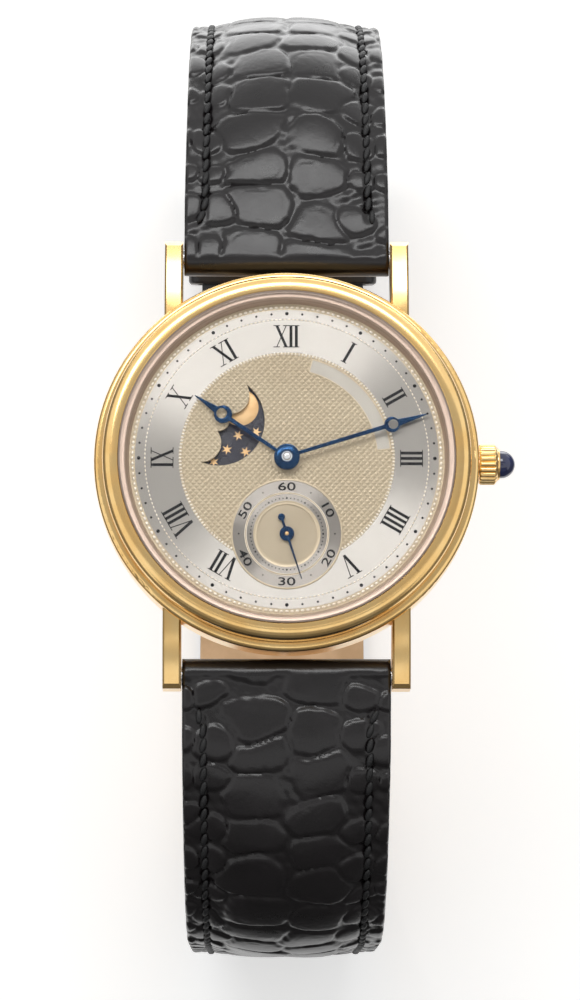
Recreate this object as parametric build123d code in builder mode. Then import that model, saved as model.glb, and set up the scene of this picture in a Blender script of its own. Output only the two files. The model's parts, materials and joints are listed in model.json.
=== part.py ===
# Wristwatch with a moon display and small seconds on a two-piece leather strap.
# Origin: centre of the case back's flat outer face. +Z leaves the dial, +Y points
# to 12 o'clock, +X to 3 o'clock and the crown. All lengths are in millimetres.
from build123d import *
from math import atan2, cos, degrees, radians, sin, sqrt
import os

os.makedirs("parts", exist_ok=True)

# Case shell, each radius a step inward from the case's own
case_radius = 16.5
case_wall = 1.9
case_edge_rounding = 0.42
case_foot_step = 0.6
case_foot_height = 0.8
band_bottom = 0.7
bezel_step = 0.75
bezel_seat_step = 1.1
bezel_crown_step = 1.25
bezel_opening_step = 2.95
bezel_lip_height = 0.25
bezel_rim_height = 0.95
bezel_shoulder_drop = 0.2
crystal_step = 2.3
crystal_ledge_step = 2.6
crystal_edge_height = 0.62
crystal_dome = 0.3
crystal_bevel = 0.14
crystal_seat_rise = 1.3
crystal_gasket_wall = 0.15
case_bore = case_radius - case_wall
case_foot_radius = case_radius - case_foot_step
bezel_radius = case_radius - bezel_step
bezel_seat_radius = case_radius - bezel_seat_step
bezel_crown_radius = case_radius - bezel_crown_step
bezel_opening = case_radius - bezel_opening_step
crystal_radius = case_radius - crystal_step
crystal_ledge_radius = case_radius - crystal_ledge_step

# Case back, pressed into the bore
back_thickness = 0.8
back_face_step = 3.6
back_bevel_step = 1.9
back_step = 1.4
back_bevel_height = 0.35
back_lip_wall = 0.65
back_lip_height = 0.5
gasket_wall = 0.26
gasket_height = 0.2
gasket_rise = 0.15
back_face_radius = case_radius - back_face_step
back_bevel_radius = case_radius - back_bevel_step
back_radius = case_radius - back_step

# Lugs and spring bars
strap_width = 17.8
lug_side_gap = 0.1
lug_thickness = 1.55
lug_overhang = 3.0
lug_root_low = 1.5
lug_root_high = 4.2
lug_tip_low = 0.5
lug_tip_high = 3.45
lug_end_chamfer = 0.38
lug_side_chamfer = 0.16
lug_belly_start = 0.4
bar_standoff = 1.8
bar_height = 1.8
bar_radius = 0.85
bar_tip_radius = 0.4
bar_tip_length = 0.75
lug_gap = strap_width + 2 * lug_side_gap
lug_reach = case_radius + lug_overhang
lug_belly_reach = case_radius + lug_belly_start
bar_reach = case_radius + bar_standoff

# Fits
slip = 0.05
running_gap = 0.06
bar_gap = 0.08
overrun = 1.0

# Movement stack, counted up from the case back
back_clearance = 0.15
winding_wheel_thickness = 0.27
bridge_gap = 0.05
bridge_thickness = 0.35
train_height = 1.38
plate_thickness = 0.9
motion_height = 0.9
dial_thickness = 0.4
movement_radius = 13.1
plate_wall = 0.95
holder_gap = 0.05

# Train wheels
wheel_thickness = 0.14
level_gap = 0.05
train_module = 0.105
seconds_module = 0.1
escape_module = 0.085
barrel_module = 0.13
winding_module = 0.18
motion_module = 0.125
hour_module = 0.12
day_module = 0.1
arbor_radius = 0.17
pivot_radius = 0.11
jewel_radius = 0.55
barrel_teeth = 84
centre_pinion_leaves = 12
centre_teeth = 80
third_pinion_leaves = 10
third_teeth = 75
fourth_pinion_leaves = 10
fourth_teeth = 70
escape_pinion_leaves = 7
escape_teeth = 15
ratchet_teeth = 60
crown_wheel_teeth = 26
cannon_leaves = 12
minute_teeth = 36
minute_pinion_leaves = 10
hour_teeth = 40
hour_pinion_leaves = 20
day_teeth = 40
moon_teeth = 59

# Tooth form, as shares of the module and of the pitch
addendum_share = 0.9
dedendum_share = 1.2
tooth_root_share = 0.3
tooth_tip_share = 0.11

# Directions of the wheels around the movement, in degrees from 3 o'clock
third_direction = -49.5
escape_direction = -155.0
barrel_direction = 78.0
balance_direction = 135.0
minute_direction = -10.0
day_direction = 100.0

# Barrel, centre arbor
barrel_height = 0.98
barrel_tooth_height = 0.28
barrel_wall = 0.3
barrel_floor = 0.18
barrel_arbor_radius = 1.1
mainspring_turns = 9
mainspring_strip = 0.16
mainspring_pitch = 0.36
centre_arbor_radius = 0.28
centre_arbor_top = 6.38

# Escapement
escape_radius = 1.85
escape_root_radius = 1.45
pallet_distance = 2.45
balance_distance = 5.855
balance_radius = 4.0
balance_rim = 0.42
balance_rim_height = 0.24
balance_staff_radius = 0.2
roller_radius = 0.95
impulse_radius = 0.75
impulse_pin_radius = 0.11
hairspring_turns = 9
hairspring_strip = 0.06
hairspring_pitch = 0.16
hairspring_inner = 0.45
hairspring_height = 0.16

# Dial and display
dial_step = 2.6
dial_hole = 0.95
seconds_offset = 6.53
seconds_dial_radius = 4.76
seconds_dial_sink = 0.15
moon_x = -5.81
moon_y = 3.28
moon_window_radius = 3.92
moon_scallop_radius = 1.67
moon_scallop_distance = 2.42
moon_scallop_spread = 97.0
moon_window_direction = -30.0
moon_hub_cover = 0.9
moon_disc_radius = 4.3
moon_disc_thickness = 0.17
moon_post_radius = 0.4
dial_foot_radius = 0.4
dial_foot_length = 1.0
dial_foot_inset = 0.5
dial_radius = case_radius - dial_step
dial_foot_place = movement_radius - dial_foot_inset

# Hands
hand_thickness = 0.12
hour_hand_length = 9.53
hour_ring_place = 6.6
hour_ring_radius = 0.78
hour_ring_hole = 0.45
hour_hand_angle = 304.3
minute_hand_length = 12.56
minute_ring_place = 9.37
minute_ring_radius = 0.67
minute_ring_hole = 0.42
minute_hand_angle = 72.8
hand_hub_radius = 1.09
hand_shaft_width = 0.3
hand_shaft_tip_width = 0.36
hand_leaf_width = 0.6
hand_point_width = 0.08
seconds_hand_length = 4.05
seconds_hand_angle = 162.0
seconds_hub_radius = 0.62
seconds_tail = 1.5
seconds_tail_radius = 0.3
seconds_shaft_width = 0.2
seconds_point_width = 0.06
seconds_hand_rise = 0.1
hour_hand_rise = 0.4
minute_hand_rise = 0.82
hour_pipe_radius = 0.75
cannon_radius = 0.5

# Crown and keyless works
crown_radius = 1.75
crown_length = 1.5
crown_flutes = 20
crown_flute_radius = 0.2
crown_cavity_radius = 1.15
crown_cavity_depth = 1.0
crown_collar_radius = 1.35
crown_collar_length = 0.28
cabochon_radius = 1.2
cabochon_height = 1.35
tube_radius = 0.9
tube_projection = 0.7
stem_radius = 0.5
stem_groove_place = 10.4
stem_groove_width = 0.5
stem_groove_radius = 0.3
stem_start = 6.6
stem_square = 0.7
stem_square_end = 8.02
sliding_pinion_radius = 0.88
sliding_pinion_start = 6.98
winding_pinion_leaves = 14
winding_pinion_width = 0.8
setting_lever_arm = 2.2
setting_lever_thickness = 0.12
setting_lever_radius = 0.5

# Screws
screw_head_radius = 0.55
screw_head_height = 0.2
screw_shank_radius = 0.28
screw_length = 0.95
screw_slot = 0.14
screw_slot_depth = 0.08
screw_inset = 0.48
screw_place = movement_radius - screw_inset
bridge_screw_angles = (20.0, 75.0, 130.0, 172.0, 208.0, 250.0, 290.0, 335.0)

# Strap
strap_taper = 1.8
upper_length = 75.0
lower_length = 108.0
strap_slope = 8.0
drop_heading = 90.0
flat_heading = 180.0
upper_reach_straight = 9.0
upper_first_bend = 20.0
upper_drop = 6.0
upper_second_bend = 18.0
upper_end_heading = 168.0
lower_reach_straight = 5.0
lower_first_bend = 19.0
lower_drop = 12.5
lower_second_bend = 20.0
root_length = 5.0
root_radius = 1.5
root_thickness = 3.1
pad_thickness = 3.7
pad_peak = 15.0
pad_end = 52.0
tail_thickness = 2.1
root_crown = 0.05
pad_crown = 1.25
tail_crown = 0.4
lining_thickness = 0.6
filler_inset = 2.4
filler_cover = 0.8
filler_floor = 0.1
filler_start = 7.5
filler_end = 48.0
station_step = 5.2
tip_length = 11.0
strap_hole_radius = 0.85
strap_holes = 7
strap_hole_pitch = 6.5
strap_first_hole = 17.0
end_block = 5.0
end_radius = 1.3
strap_end_width = strap_width - strap_taper

# Keepers and buckle
keeper_width = 4.6
keeper_wall = 1.0
keeper_gap = 0.3
keeper_spare = 2.5
fixed_keeper_inset = 5.8
free_keeper_inset = 16.0
buckle_side_gap = 0.25
buckle_arm = 1.45
buckle_length = 7.6
buckle_front = 1.7
buckle_back = 1.2
buckle_thickness = 1.5
buckle_edge = 0.3
buckle_bar_radius = 0.72
tongue_ring_radius = 1.22
tongue_width = 1.6
tongue_ring_width = 2.2
tongue_thickness = 0.8
tongue_slot = 3.1
tongue_slot_length = 3.6
fixed_keeper_place = upper_length - fixed_keeper_inset
free_keeper_place = upper_length - free_keeper_inset
buckle_inside_width = strap_end_width + 2 * buckle_side_gap

# Levels worked out from the stack
winding_z = back_thickness + back_clearance
bridge_z = winding_z + winding_wheel_thickness + bridge_gap
bridge_top = bridge_z + bridge_thickness
plate_z = bridge_top + train_height
plate_top = plate_z + plate_thickness
dial_z = plate_top + motion_height
dial_top = dial_z + dial_thickness
band_top = dial_z - slip
crystal_z = dial_top + crystal_seat_rise
low_level = bridge_top + level_gap
balance_level_share = 0.26
pallet_bridge_level_share = 0.49
third_level_share = 0.49
escape_level_share = 0.67
centre_level_share = 0.85
balance_z = bridge_top + balance_level_share * train_height
third_z = bridge_top + third_level_share * train_height
escape_z = bridge_top + escape_level_share * train_height
centre_z = bridge_top + centre_level_share * train_height
pallet_bridge_z = bridge_top + pallet_bridge_level_share * train_height
pallet_bridge_thickness = 0.18
motion_wheel_thickness = 0.12
motion_z = plate_top + level_gap
hour_wheel_z = motion_z + motion_wheel_thickness + level_gap
day_wheel_z = hour_wheel_z + motion_wheel_thickness + level_gap
moon_disc_z = day_wheel_z + motion_wheel_thickness + level_gap
hour_hand_z = dial_top + hour_hand_rise
minute_hand_z = dial_top + minute_hand_rise
seconds_hand_z = dial_top + seconds_hand_rise
stem_z = plate_z - stem_radius


def polar(distance, direction, x=0, y=0):
    return x + distance * cos(radians(direction)), y + distance * sin(radians(direction))


def direction_of(start, end):
    return degrees(atan2(end[1] - start[1], end[0] - start[0]))


def mesh_distance(first_teeth, second_teeth, module):
    return (first_teeth + second_teeth) * module / 2


def gap_phase(direction, teeth):
    # A gap, not a tooth, faces back along the line of centres.
    return direction + 180 + 180 / teeth


# Wheel centres
centre_at = (0, 0)
third_at = polar(mesh_distance(centre_teeth, third_pinion_leaves, train_module), third_direction)
fourth_at = (0, -seconds_offset)
escape_at = polar(mesh_distance(fourth_teeth, escape_pinion_leaves, escape_module),
                  escape_direction, *fourth_at)
barrel_at = polar(mesh_distance(barrel_teeth, centre_pinion_leaves, barrel_module), barrel_direction)
pallet_at = polar(pallet_distance, balance_direction, *escape_at)
balance_at = polar(balance_distance, balance_direction, *escape_at)
ratchet_distance = mesh_distance(ratchet_teeth, crown_wheel_teeth, winding_module)
crown_wheel_at = (barrel_at[0] + sqrt(ratchet_distance ** 2 - barrel_at[1] ** 2), 0)
crown_wheel_radius = crown_wheel_teeth * winding_module / 2
minute_at = polar(mesh_distance(cannon_leaves, minute_teeth, motion_module), minute_direction)
day_at = polar(mesh_distance(hour_pinion_leaves, day_teeth, day_module), day_direction)
moon_at = (moon_x, moon_y)
winding_pinion_radius = stem_z - winding_z - winding_wheel_thickness - running_gap
winding_pinion_start = crown_wheel_at[0] + crown_wheel_radius - winding_pinion_width / 2


def finish(part, name):
    part.label = name
    export_step(part, f"parts/{name}.step")


def level(z, centre=(0, 0)):
    return Plane(origin=(centre[0], centre[1], z))


def gear_face(teeth, module, phase):
    pitch_radius = teeth * module / 2
    root = pitch_radius - dedendum_share * module
    tip = pitch_radius + addendum_share * module
    step = 360 / teeth
    points = []
    for tooth in range(teeth):
        middle = phase + tooth * step
        points.append(polar(root, middle - tooth_root_share * step))
        points.append(polar(tip, middle - tooth_tip_share * step))
        points.append(polar(tip, middle + tooth_tip_share * step))
        points.append(polar(root, middle + tooth_root_share * step))
    with BuildSketch() as face:
        with BuildLine():
            Polyline(*points, close=True)
        make_face()
    return face.sketch


def saw_face(teeth, root, tip, phase, lean_share=0.75, land_share=0.1):
    step = 360 / teeth
    points = []
    for tooth in range(teeth):
        start = phase + tooth * step
        points.append(polar(root, start))
        points.append(polar(tip, start + lean_share * step))
        points.append(polar(tip, start + (lean_share + land_share) * step))
        points.append(polar(root, start + (lean_share + land_share) * step))
    with BuildSketch() as face:
        with BuildLine():
            Polyline(*points, close=True)
        make_face()
    return face.sketch


def spokes(outer, inner, arms, arm_width, phase=0):
    with BuildSketch() as windows:
        Circle(outer)
        Circle(inner, mode=Mode.SUBTRACT)
        with PolarLocations(0, arms, start_angle=phase):
            Rectangle(outer + overrun, arm_width, align=(Align.MIN, Align.CENTER), mode=Mode.SUBTRACT)
    return windows.sketch


def spiral_face(turns, inner, pitch, strip):
    # Half rings about two centres, half a pitch apart, meet tangent to each other.
    with BuildSketch() as face:
        with BuildLine():
            for edge in (-strip / 2, strip / 2):
                for half in range(2 * turns):
                    radius = inner + half * pitch / 2 + edge
                    middle = pitch / 2 if half % 2 else 0
                    side = -1 if half % 2 else 1
                    ThreePointArc((middle + side * radius, 0), (middle, side * radius),
                                  (middle - side * radius, 0))
            last = inner + turns * pitch
            Line((inner - strip / 2, 0), (inner + strip / 2, 0))
            Line((last - strip / 2, 0), (last + strip / 2, 0))
        make_face()
    return face.sketch


def bar_face(start, end, start_width, end_width):
    direction = radians(direction_of(start, end))
    across = (-sin(direction), cos(direction))
    corners = []
    for point, half in ((start, -start_width / 2), (end, -end_width / 2),
                        (end, end_width / 2), (start, start_width / 2)):
        corners.append((point[0] + half * across[0], point[1] + half * across[1]))
    with BuildSketch() as face:
        with BuildLine():
            Polyline(*corners, close=True)
        make_face()
    return face.sketch


def crown_plane(x):
    return Plane(origin=(x, 0, stem_z), x_dir=(0, 1, 0), z_dir=(1, 0, 0))


# Case band: a ring with a rounded top edge and the hole for the crown tube
with BuildPart() as case_band:
    with BuildSketch(Plane.XZ):
        with BuildLine():
            Polyline((case_radius - case_edge_rounding, band_top), (case_bore, band_top),
                     (case_bore, band_bottom), (case_foot_radius, band_bottom),
                     (case_radius, band_bottom + case_foot_height),
                     (case_radius, band_top - case_edge_rounding))
            CenterArc((case_radius - case_edge_rounding, band_top - case_edge_rounding),
                      case_edge_rounding, 0, 90)
        make_face()
    revolve(axis=Axis.Z)
    with BuildSketch(crown_plane(0)):
        Circle(tube_radius)
    extrude(amount=case_radius + overrun, mode=Mode.SUBTRACT)
finish(case_band.part, "case_band")

# Four straight lugs, soldered to the flank, with blind holes for the spring bars
lug_root_reach_share = 0.6
lug_arch_share = 0.62
lug_arch_rise_share = 0.8
lug_flank_reach = sqrt(case_radius ** 2 - (lug_gap / 2 + lug_thickness) ** 2)
with BuildPart() as lugs:
    with BuildSketch(Plane.YZ.offset(lug_gap / 2)):
        with BuildLine():
            Polyline((lug_reach - lug_end_chamfer, lug_tip_high), (lug_reach, lug_tip_high - lug_end_chamfer),
                     (lug_reach, lug_tip_low + lug_end_chamfer), (lug_reach - lug_end_chamfer, lug_tip_low),
                     (lug_belly_reach, lug_tip_low), (lug_flank_reach, lug_root_low),
                     (lug_root_reach_share * case_radius, lug_root_low),
                     (lug_root_reach_share * case_radius, lug_root_high),
                     (lug_flank_reach, lug_root_high))
            ThreePointArc((lug_flank_reach, lug_root_high),
                          (lug_flank_reach + lug_arch_share * (lug_reach - lug_flank_reach),
                           lug_tip_high + (1 - lug_arch_share) * lug_arch_rise_share
                           * 2 * (lug_root_high - lug_tip_high)),
                          (lug_reach - lug_end_chamfer, lug_tip_high))
        make_face()
    extrude(amount=lug_thickness)
    lug_top = lugs.faces().filter_by(GeomType.CYLINDER).sort_by(Axis.Z)[-1]
    chamfer(lug_top.edges().filter_by(GeomType.CIRCLE), length=lug_side_chamfer)
    with BuildSketch(level(0)):
        Circle(case_radius)
    extrude(amount=band_top, mode=Mode.SUBTRACT)
    with BuildSketch(Plane.YZ.offset(lug_gap / 2)):
        with Locations((bar_reach, bar_height)):
            Circle(bar_tip_radius)
    extrude(amount=bar_tip_length + slip, mode=Mode.SUBTRACT)
    mirror(about=Plane.XZ)
    mirror(about=Plane.YZ)
finish(lugs.part, "lugs")

# Bezel: sloping inner ring above the dial, crystal seat and a rounded face
bezel_seat = crystal_radius + crystal_gasket_wall
bezel_lip_z = crystal_z + crystal_edge_height - bezel_shoulder_drop
bezel_crown_share = 0.72
with BuildPart() as bezel:
    with BuildSketch(Plane.XZ):
        with BuildLine():
            Polyline((bezel_radius, band_top + bezel_rim_height), (bezel_radius, band_top + bezel_lip_height),
                     (bezel_seat_radius, band_top), (dial_radius + 2 * slip, band_top),
                     (dial_radius + 2 * slip, dial_top + slip), (bezel_opening, dial_top + slip),
                     (crystal_ledge_radius, crystal_z), (bezel_seat, crystal_z), (bezel_seat, bezel_lip_z))
            ThreePointArc((bezel_seat, bezel_lip_z),
                          (bezel_crown_radius, band_top + bezel_rim_height
                           + bezel_crown_share * (bezel_lip_z - band_top - bezel_rim_height)),
                          (bezel_radius, band_top + bezel_rim_height))
        make_face()
    revolve(axis=Axis.Z)
finish(bezel.part, "bezel")

# Crystal with a low dome, and the sealing ring around it
crystal_rim = crystal_radius - crystal_bevel
crystal_edge_z = crystal_z + crystal_edge_height
dome_radius = (crystal_rim ** 2 + crystal_dome ** 2) / (2 * crystal_dome)
dome_half_angle = degrees(atan2(crystal_rim, dome_radius - crystal_dome))
with BuildPart() as crystal:
    with BuildSketch(Plane.XZ):
        with BuildLine():
            Polyline((0, crystal_edge_z + crystal_dome), (0, crystal_z), (crystal_radius, crystal_z),
                     (crystal_radius, crystal_edge_z - crystal_bevel), (crystal_rim, crystal_edge_z))
            CenterArc((0, crystal_edge_z + crystal_dome - dome_radius), dome_radius,
                      90 - dome_half_angle, dome_half_angle)
        make_face()
    revolve(axis=Axis.Z)
finish(crystal.part, "crystal")

with BuildPart() as crystal_gasket:
    with BuildSketch(level(crystal_z)):
        Circle(bezel_seat)
        Circle(crystal_radius, mode=Mode.SUBTRACT)
    extrude(amount=bezel_lip_z - crystal_z - slip)
finish(crystal_gasket.part, "crystal_gasket")

# Press-fit case back with a groove for its sealing ring
lip_radius = case_bore - slip
gasket_low = back_thickness + gasket_rise
with BuildPart() as case_back:
    with BuildSketch(Plane.XZ):
        with BuildLine():
            Polyline((0, 0), (back_face_radius, 0), (back_bevel_radius, back_bevel_height),
                     (back_radius, band_bottom), (lip_radius, band_bottom), (lip_radius, gasket_low),
                     (lip_radius - gasket_wall, gasket_low),
                     (lip_radius - gasket_wall, gasket_low + gasket_height),
                     (lip_radius, gasket_low + gasket_height), (lip_radius, band_bottom + back_lip_height),
                     (lip_radius - back_lip_wall, band_bottom + back_lip_height),
                     (lip_radius - back_lip_wall, back_thickness), (0, back_thickness), close=True)
        make_face()
    revolve(axis=Axis.Z)
finish(case_back.part, "case_back")

with BuildPart() as case_back_gasket:
    with BuildSketch(level(gasket_low)):
        Circle(lip_radius + slip / 2)
        Circle(lip_radius - gasket_wall, mode=Mode.SUBTRACT)
    extrude(amount=gasket_height)
finish(case_back_gasket.part, "case_back_gasket")

# Ring that centres the movement in the case
holder_z = band_bottom + back_lip_height + slip
with BuildPart() as movement_holder:
    with BuildSketch(level(holder_z)):
        Circle(case_bore - slip)
        Circle(movement_radius + holder_gap, mode=Mode.SUBTRACT)
    extrude(amount=band_top - holder_z)
    with BuildSketch(crown_plane(0)):
        Circle(tube_radius)
    extrude(amount=case_radius, mode=Mode.SUBTRACT)
finish(movement_holder.part, "movement_holder")

# Main plate: a web with a wall on both sides, bearing holes and posts
wall_inside = movement_radius - plate_wall
winding_pinion_end = winding_pinion_start + winding_pinion_width
channel_start = sliding_pinion_start - 2 * slip
channel_length = winding_pinion_end - channel_start + 2 * slip
channel_half = winding_pinion_radius + 2 * slip
dial_foot_angles = (60.0, 240.0)
lever_pivot = (stem_groove_place, -setting_lever_arm)
lever_post_radius = 0.3
stud_radius = 0.28
barrel_pivot_radius = 0.5
seconds_tube_hole = arbor_radius + running_gap
plate_jewels = (third_at, escape_at, pallet_at, balance_at, fourth_at)
with BuildPart() as main_plate:
    with BuildSketch(Plane.XZ):
        with BuildLine():
            Polyline((0, plate_z), (wall_inside, plate_z), (wall_inside, bridge_top),
                     (movement_radius, bridge_top), (movement_radius, dial_z), (wall_inside, dial_z),
                     (wall_inside, plate_top), (0, plate_top), close=True)
        make_face()
    revolve(axis=Axis.Z)
    with BuildSketch(level(plate_top, minute_at)):
        Circle(stud_radius)
    extrude(amount=hour_wheel_z + motion_wheel_thickness - plate_top)
    with BuildSketch(level(plate_top, day_at)):
        Circle(stud_radius)
    extrude(amount=moon_disc_z + moon_disc_thickness - plate_top)
    with BuildSketch(level(plate_top, moon_at)):
        Circle(moon_post_radius)
    extrude(amount=moon_disc_z + moon_disc_thickness - plate_top)
    with BuildSketch(level(bridge_top + slip, lever_pivot)):
        Circle(lever_post_radius)
    extrude(amount=plate_z - bridge_top - slip)
    with BuildSketch(level(plate_z)):
        Circle(centre_arbor_radius + running_gap)
        with Locations(*plate_jewels):
            Circle(jewel_radius)
        with Locations(barrel_at):
            Circle(barrel_pivot_radius + running_gap)
    extrude(amount=plate_thickness, mode=Mode.SUBTRACT)
    with BuildSketch(level(dial_z)):
        with Locations(*[polar(dial_foot_place, angle) for angle in dial_foot_angles]):
            Circle(dial_foot_radius + slip)
    extrude(amount=-dial_foot_length - slip, mode=Mode.SUBTRACT)
    with BuildSketch(level(bridge_top)):
        with Locations(*[polar(screw_place, angle) for angle in bridge_screw_angles]):
            Circle(screw_shank_radius)
    extrude(amount=screw_length - bridge_thickness, mode=Mode.SUBTRACT)
    with BuildSketch(crown_plane(channel_start)):
        Rectangle(2 * channel_half, 2 * channel_half)
    extrude(amount=channel_length, mode=Mode.SUBTRACT)
    with BuildSketch(crown_plane(channel_start)):
        Circle(stem_radius + running_gap)
    extrude(amount=movement_radius, mode=Mode.SUBTRACT)
finish(main_plate.part, "main_plate")

# Back-side bridges
window_start = sliding_pinion_start - slip
window_length = winding_pinion_end - window_start + slip
barrel_bridge_edge = 1.0
train_bridge_edge = 1.15
train_bridge_left = 6.5
balance_clear_radius = balance_radius + 2 * screw_head_radius / 3
click_distance = 6.75
click_direction = 150.0
click_stud_radius = 0.25
click_at = polar(click_distance, click_direction, *barrel_at)
crown_wheel_stud = 0.6


def screw_holes():
    with Locations(*[polar(screw_place, angle) for angle in bridge_screw_angles]):
        Circle(screw_shank_radius, mode=Mode.SUBTRACT)


with BuildPart() as barrel_bridge:
    with BuildSketch(level(bridge_z)):
        Circle(movement_radius)
        with Locations((0, -barrel_bridge_edge)):
            Rectangle(3 * movement_radius, 3 * movement_radius, align=(Align.CENTER, Align.MAX),
                      mode=Mode.SUBTRACT)
        with Locations((window_start, 0)):
            Rectangle(window_length, 2 * channel_half, align=(Align.MIN, Align.CENTER), mode=Mode.SUBTRACT)
        Circle(jewel_radius, mode=Mode.SUBTRACT)
        with Locations(barrel_at):
            Circle(barrel_pivot_radius + running_gap, mode=Mode.SUBTRACT)
        screw_holes()
    extrude(amount=bridge_thickness)
    with BuildSketch(level(bridge_z, crown_wheel_at)):
        Circle(crown_wheel_stud)
    extrude(amount=-winding_wheel_thickness - bridge_gap)
    with BuildSketch(level(bridge_z, click_at)):
        Circle(click_stud_radius)
    extrude(amount=-winding_wheel_thickness - bridge_gap)
finish(barrel_bridge.part, "barrel_bridge")

with BuildPart() as train_bridge:
    with BuildSketch(level(bridge_z)):
        Circle(movement_radius)
        with Locations((0, -train_bridge_edge)):
            Rectangle(3 * movement_radius, 3 * movement_radius, align=(Align.CENTER, Align.MIN),
                      mode=Mode.SUBTRACT)
        with Locations((-train_bridge_left, 0)):
            Rectangle(2 * movement_radius, 3 * movement_radius, align=(Align.MAX, Align.CENTER),
                      mode=Mode.SUBTRACT)
        with Locations(balance_at):
            Circle(balance_clear_radius, mode=Mode.SUBTRACT)
        with Locations((window_start, 0)):
            Rectangle(window_length, 2 * channel_half, align=(Align.MIN, Align.CENTER), mode=Mode.SUBTRACT)
        with Locations(third_at, fourth_at, escape_at):
            Circle(jewel_radius, mode=Mode.SUBTRACT)
        screw_holes()
    extrude(amount=bridge_thickness)
finish(train_bridge.part, "train_bridge")

# Balance cock, with the stud that holds the hairspring's outer end
cock_foot_radius = 2.0
cock_tip_radius = 1.15
stud_post_radius = 0.12
hairspring_outer = hairspring_inner + hairspring_turns * hairspring_pitch
hairspring_z = bridge_top + hairspring_height / 2
cock_direction = direction_of(centre_at, balance_at)
with BuildPart() as balance_cock:
    with BuildSketch(level(bridge_z)):
        with Locations(polar(screw_place, cock_direction)):
            Circle(cock_foot_radius)
        with Locations(balance_at):
            Circle(cock_tip_radius)
        add(bar_face(balance_at, polar(screw_place, cock_direction), 2 * cock_tip_radius,
                     2 * cock_foot_radius))
        Circle(movement_radius, mode=Mode.INTERSECT)
        with Locations(balance_at):
            Circle(jewel_radius, mode=Mode.SUBTRACT)
        screw_holes()
    extrude(amount=bridge_thickness)
    with BuildSketch(level(bridge_top, (balance_at[0] + hairspring_outer, balance_at[1] + stud_post_radius))):
        Circle(stud_post_radius)
    extrude(amount=hairspring_height * 3 / 2)
    with BuildSketch(level(bridge_z, balance_at)):
        with Locations((hairspring_outer, 0)):
            Circle(3 * stud_post_radius)
        Rectangle(hairspring_outer, 3 * stud_post_radius, align=(Align.MIN, Align.CENTER))
        Circle(jewel_radius, mode=Mode.SUBTRACT)
    extrude(amount=bridge_thickness)
finish(balance_cock.part, "balance_cock")

pallet_bridge_reach = 2.6
pallet_bridge_foot = 0.5
with BuildPart() as pallet_bridge:
    across = balance_direction - 90
    pallet_feet = [polar(side * pallet_bridge_reach, across, *pallet_at) for side in (-1, 1)]
    with BuildSketch(level(pallet_bridge_z)):
        add(bar_face(*pallet_feet, 2 * pallet_bridge_foot, 2 * pallet_bridge_foot))
        with Locations(*pallet_feet):
            Circle(pallet_bridge_foot)
        with Locations(pallet_at):
            Circle(jewel_radius * 2 / 3, mode=Mode.SUBTRACT)
    extrude(amount=pallet_bridge_thickness)
    with BuildSketch(level(pallet_bridge_z + pallet_bridge_thickness)):
        with Locations(*pallet_feet):
            Circle(pallet_bridge_foot)
    extrude(amount=plate_z - pallet_bridge_z - pallet_bridge_thickness)
finish(pallet_bridge.part, "pallet_bridge")

# Bearing jewels: place, level, thickness, outer radius, hole radius
pivot_hole = pivot_radius + running_gap / 2
jewel_seats = [(centre_at, bridge_z, bridge_thickness, jewel_radius, centre_arbor_radius + running_gap / 2)]
for place in (third_at, fourth_at, escape_at, balance_at):
    jewel_seats.append((place, bridge_z, bridge_thickness, jewel_radius, pivot_hole))
for place in (third_at, escape_at, balance_at, pallet_at):
    jewel_seats.append((place, plate_z, bridge_thickness, jewel_radius, pivot_hole))
jewel_seats.append((fourth_at, plate_z, bridge_thickness, jewel_radius, seconds_tube_hole))
jewel_seats.append((pallet_at, pallet_bridge_z, pallet_bridge_thickness, jewel_radius * 2 / 3, pivot_hole))
with BuildPart() as jewels:
    for place, z, thickness, radius, hole in jewel_seats:
        with BuildSketch(level(z, place)):
            Circle(radius)
            Circle(hole, mode=Mode.SUBTRACT)
        extrude(amount=thickness)
finish(jewels.part, "jewels")

with BuildPart() as bridge_screws:
    for angle in bridge_screw_angles:
        place = polar(screw_place, angle)
        with BuildSketch(level(bridge_z, place)):
            Circle(screw_head_radius)
        extrude(amount=-screw_head_height)
        with BuildSketch(level(bridge_z, place)):
            Circle(screw_shank_radius)
        extrude(amount=screw_length)
        with BuildSketch(level(bridge_z - screw_head_height, place)):
            Rectangle(3 * screw_head_radius, screw_slot, rotation=angle)
        extrude(amount=screw_slot_depth, mode=Mode.SUBTRACT)
finish(bridge_screws.part, "bridge_screws")

# Going train
rim_width = 0.42
arm_width = 0.3
hub_radius = 0.62
direction_barrel_centre = direction_of(barrel_at, centre_at)
direction_centre_third = direction_of(centre_at, third_at)
direction_third_fourth = direction_of(third_at, fourth_at)
direction_fourth_escape = direction_of(fourth_at, escape_at)


def crossed_wheel(teeth, module, phase, arms, hole=0):
    with BuildSketch() as face:
        add(gear_face(teeth, module, phase))
        add(spokes(teeth * module / 2 - rim_width, hub_radius, arms, arm_width, phase), mode=Mode.SUBTRACT)
        if hole:
            Circle(hole, mode=Mode.SUBTRACT)
    return face.sketch


def wheel_on_arbor(place, wheel, wheel_z, pinion, pinion_z, pinion_length, low, high):
    with BuildPart() as body:
        with BuildSketch(level(wheel_z, place)):
            add(wheel)
        extrude(amount=wheel_thickness)
        with BuildSketch(level(pinion_z, place)):
            add(pinion)
        extrude(amount=pinion_length)
        with BuildSketch(level(low_level, place)):
            Circle(arbor_radius)
        extrude(amount=train_height - 2 * level_gap)
        with BuildSketch(level(low, place)):
            Circle(pivot_radius)
        extrude(amount=high - low)
    return body


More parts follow.
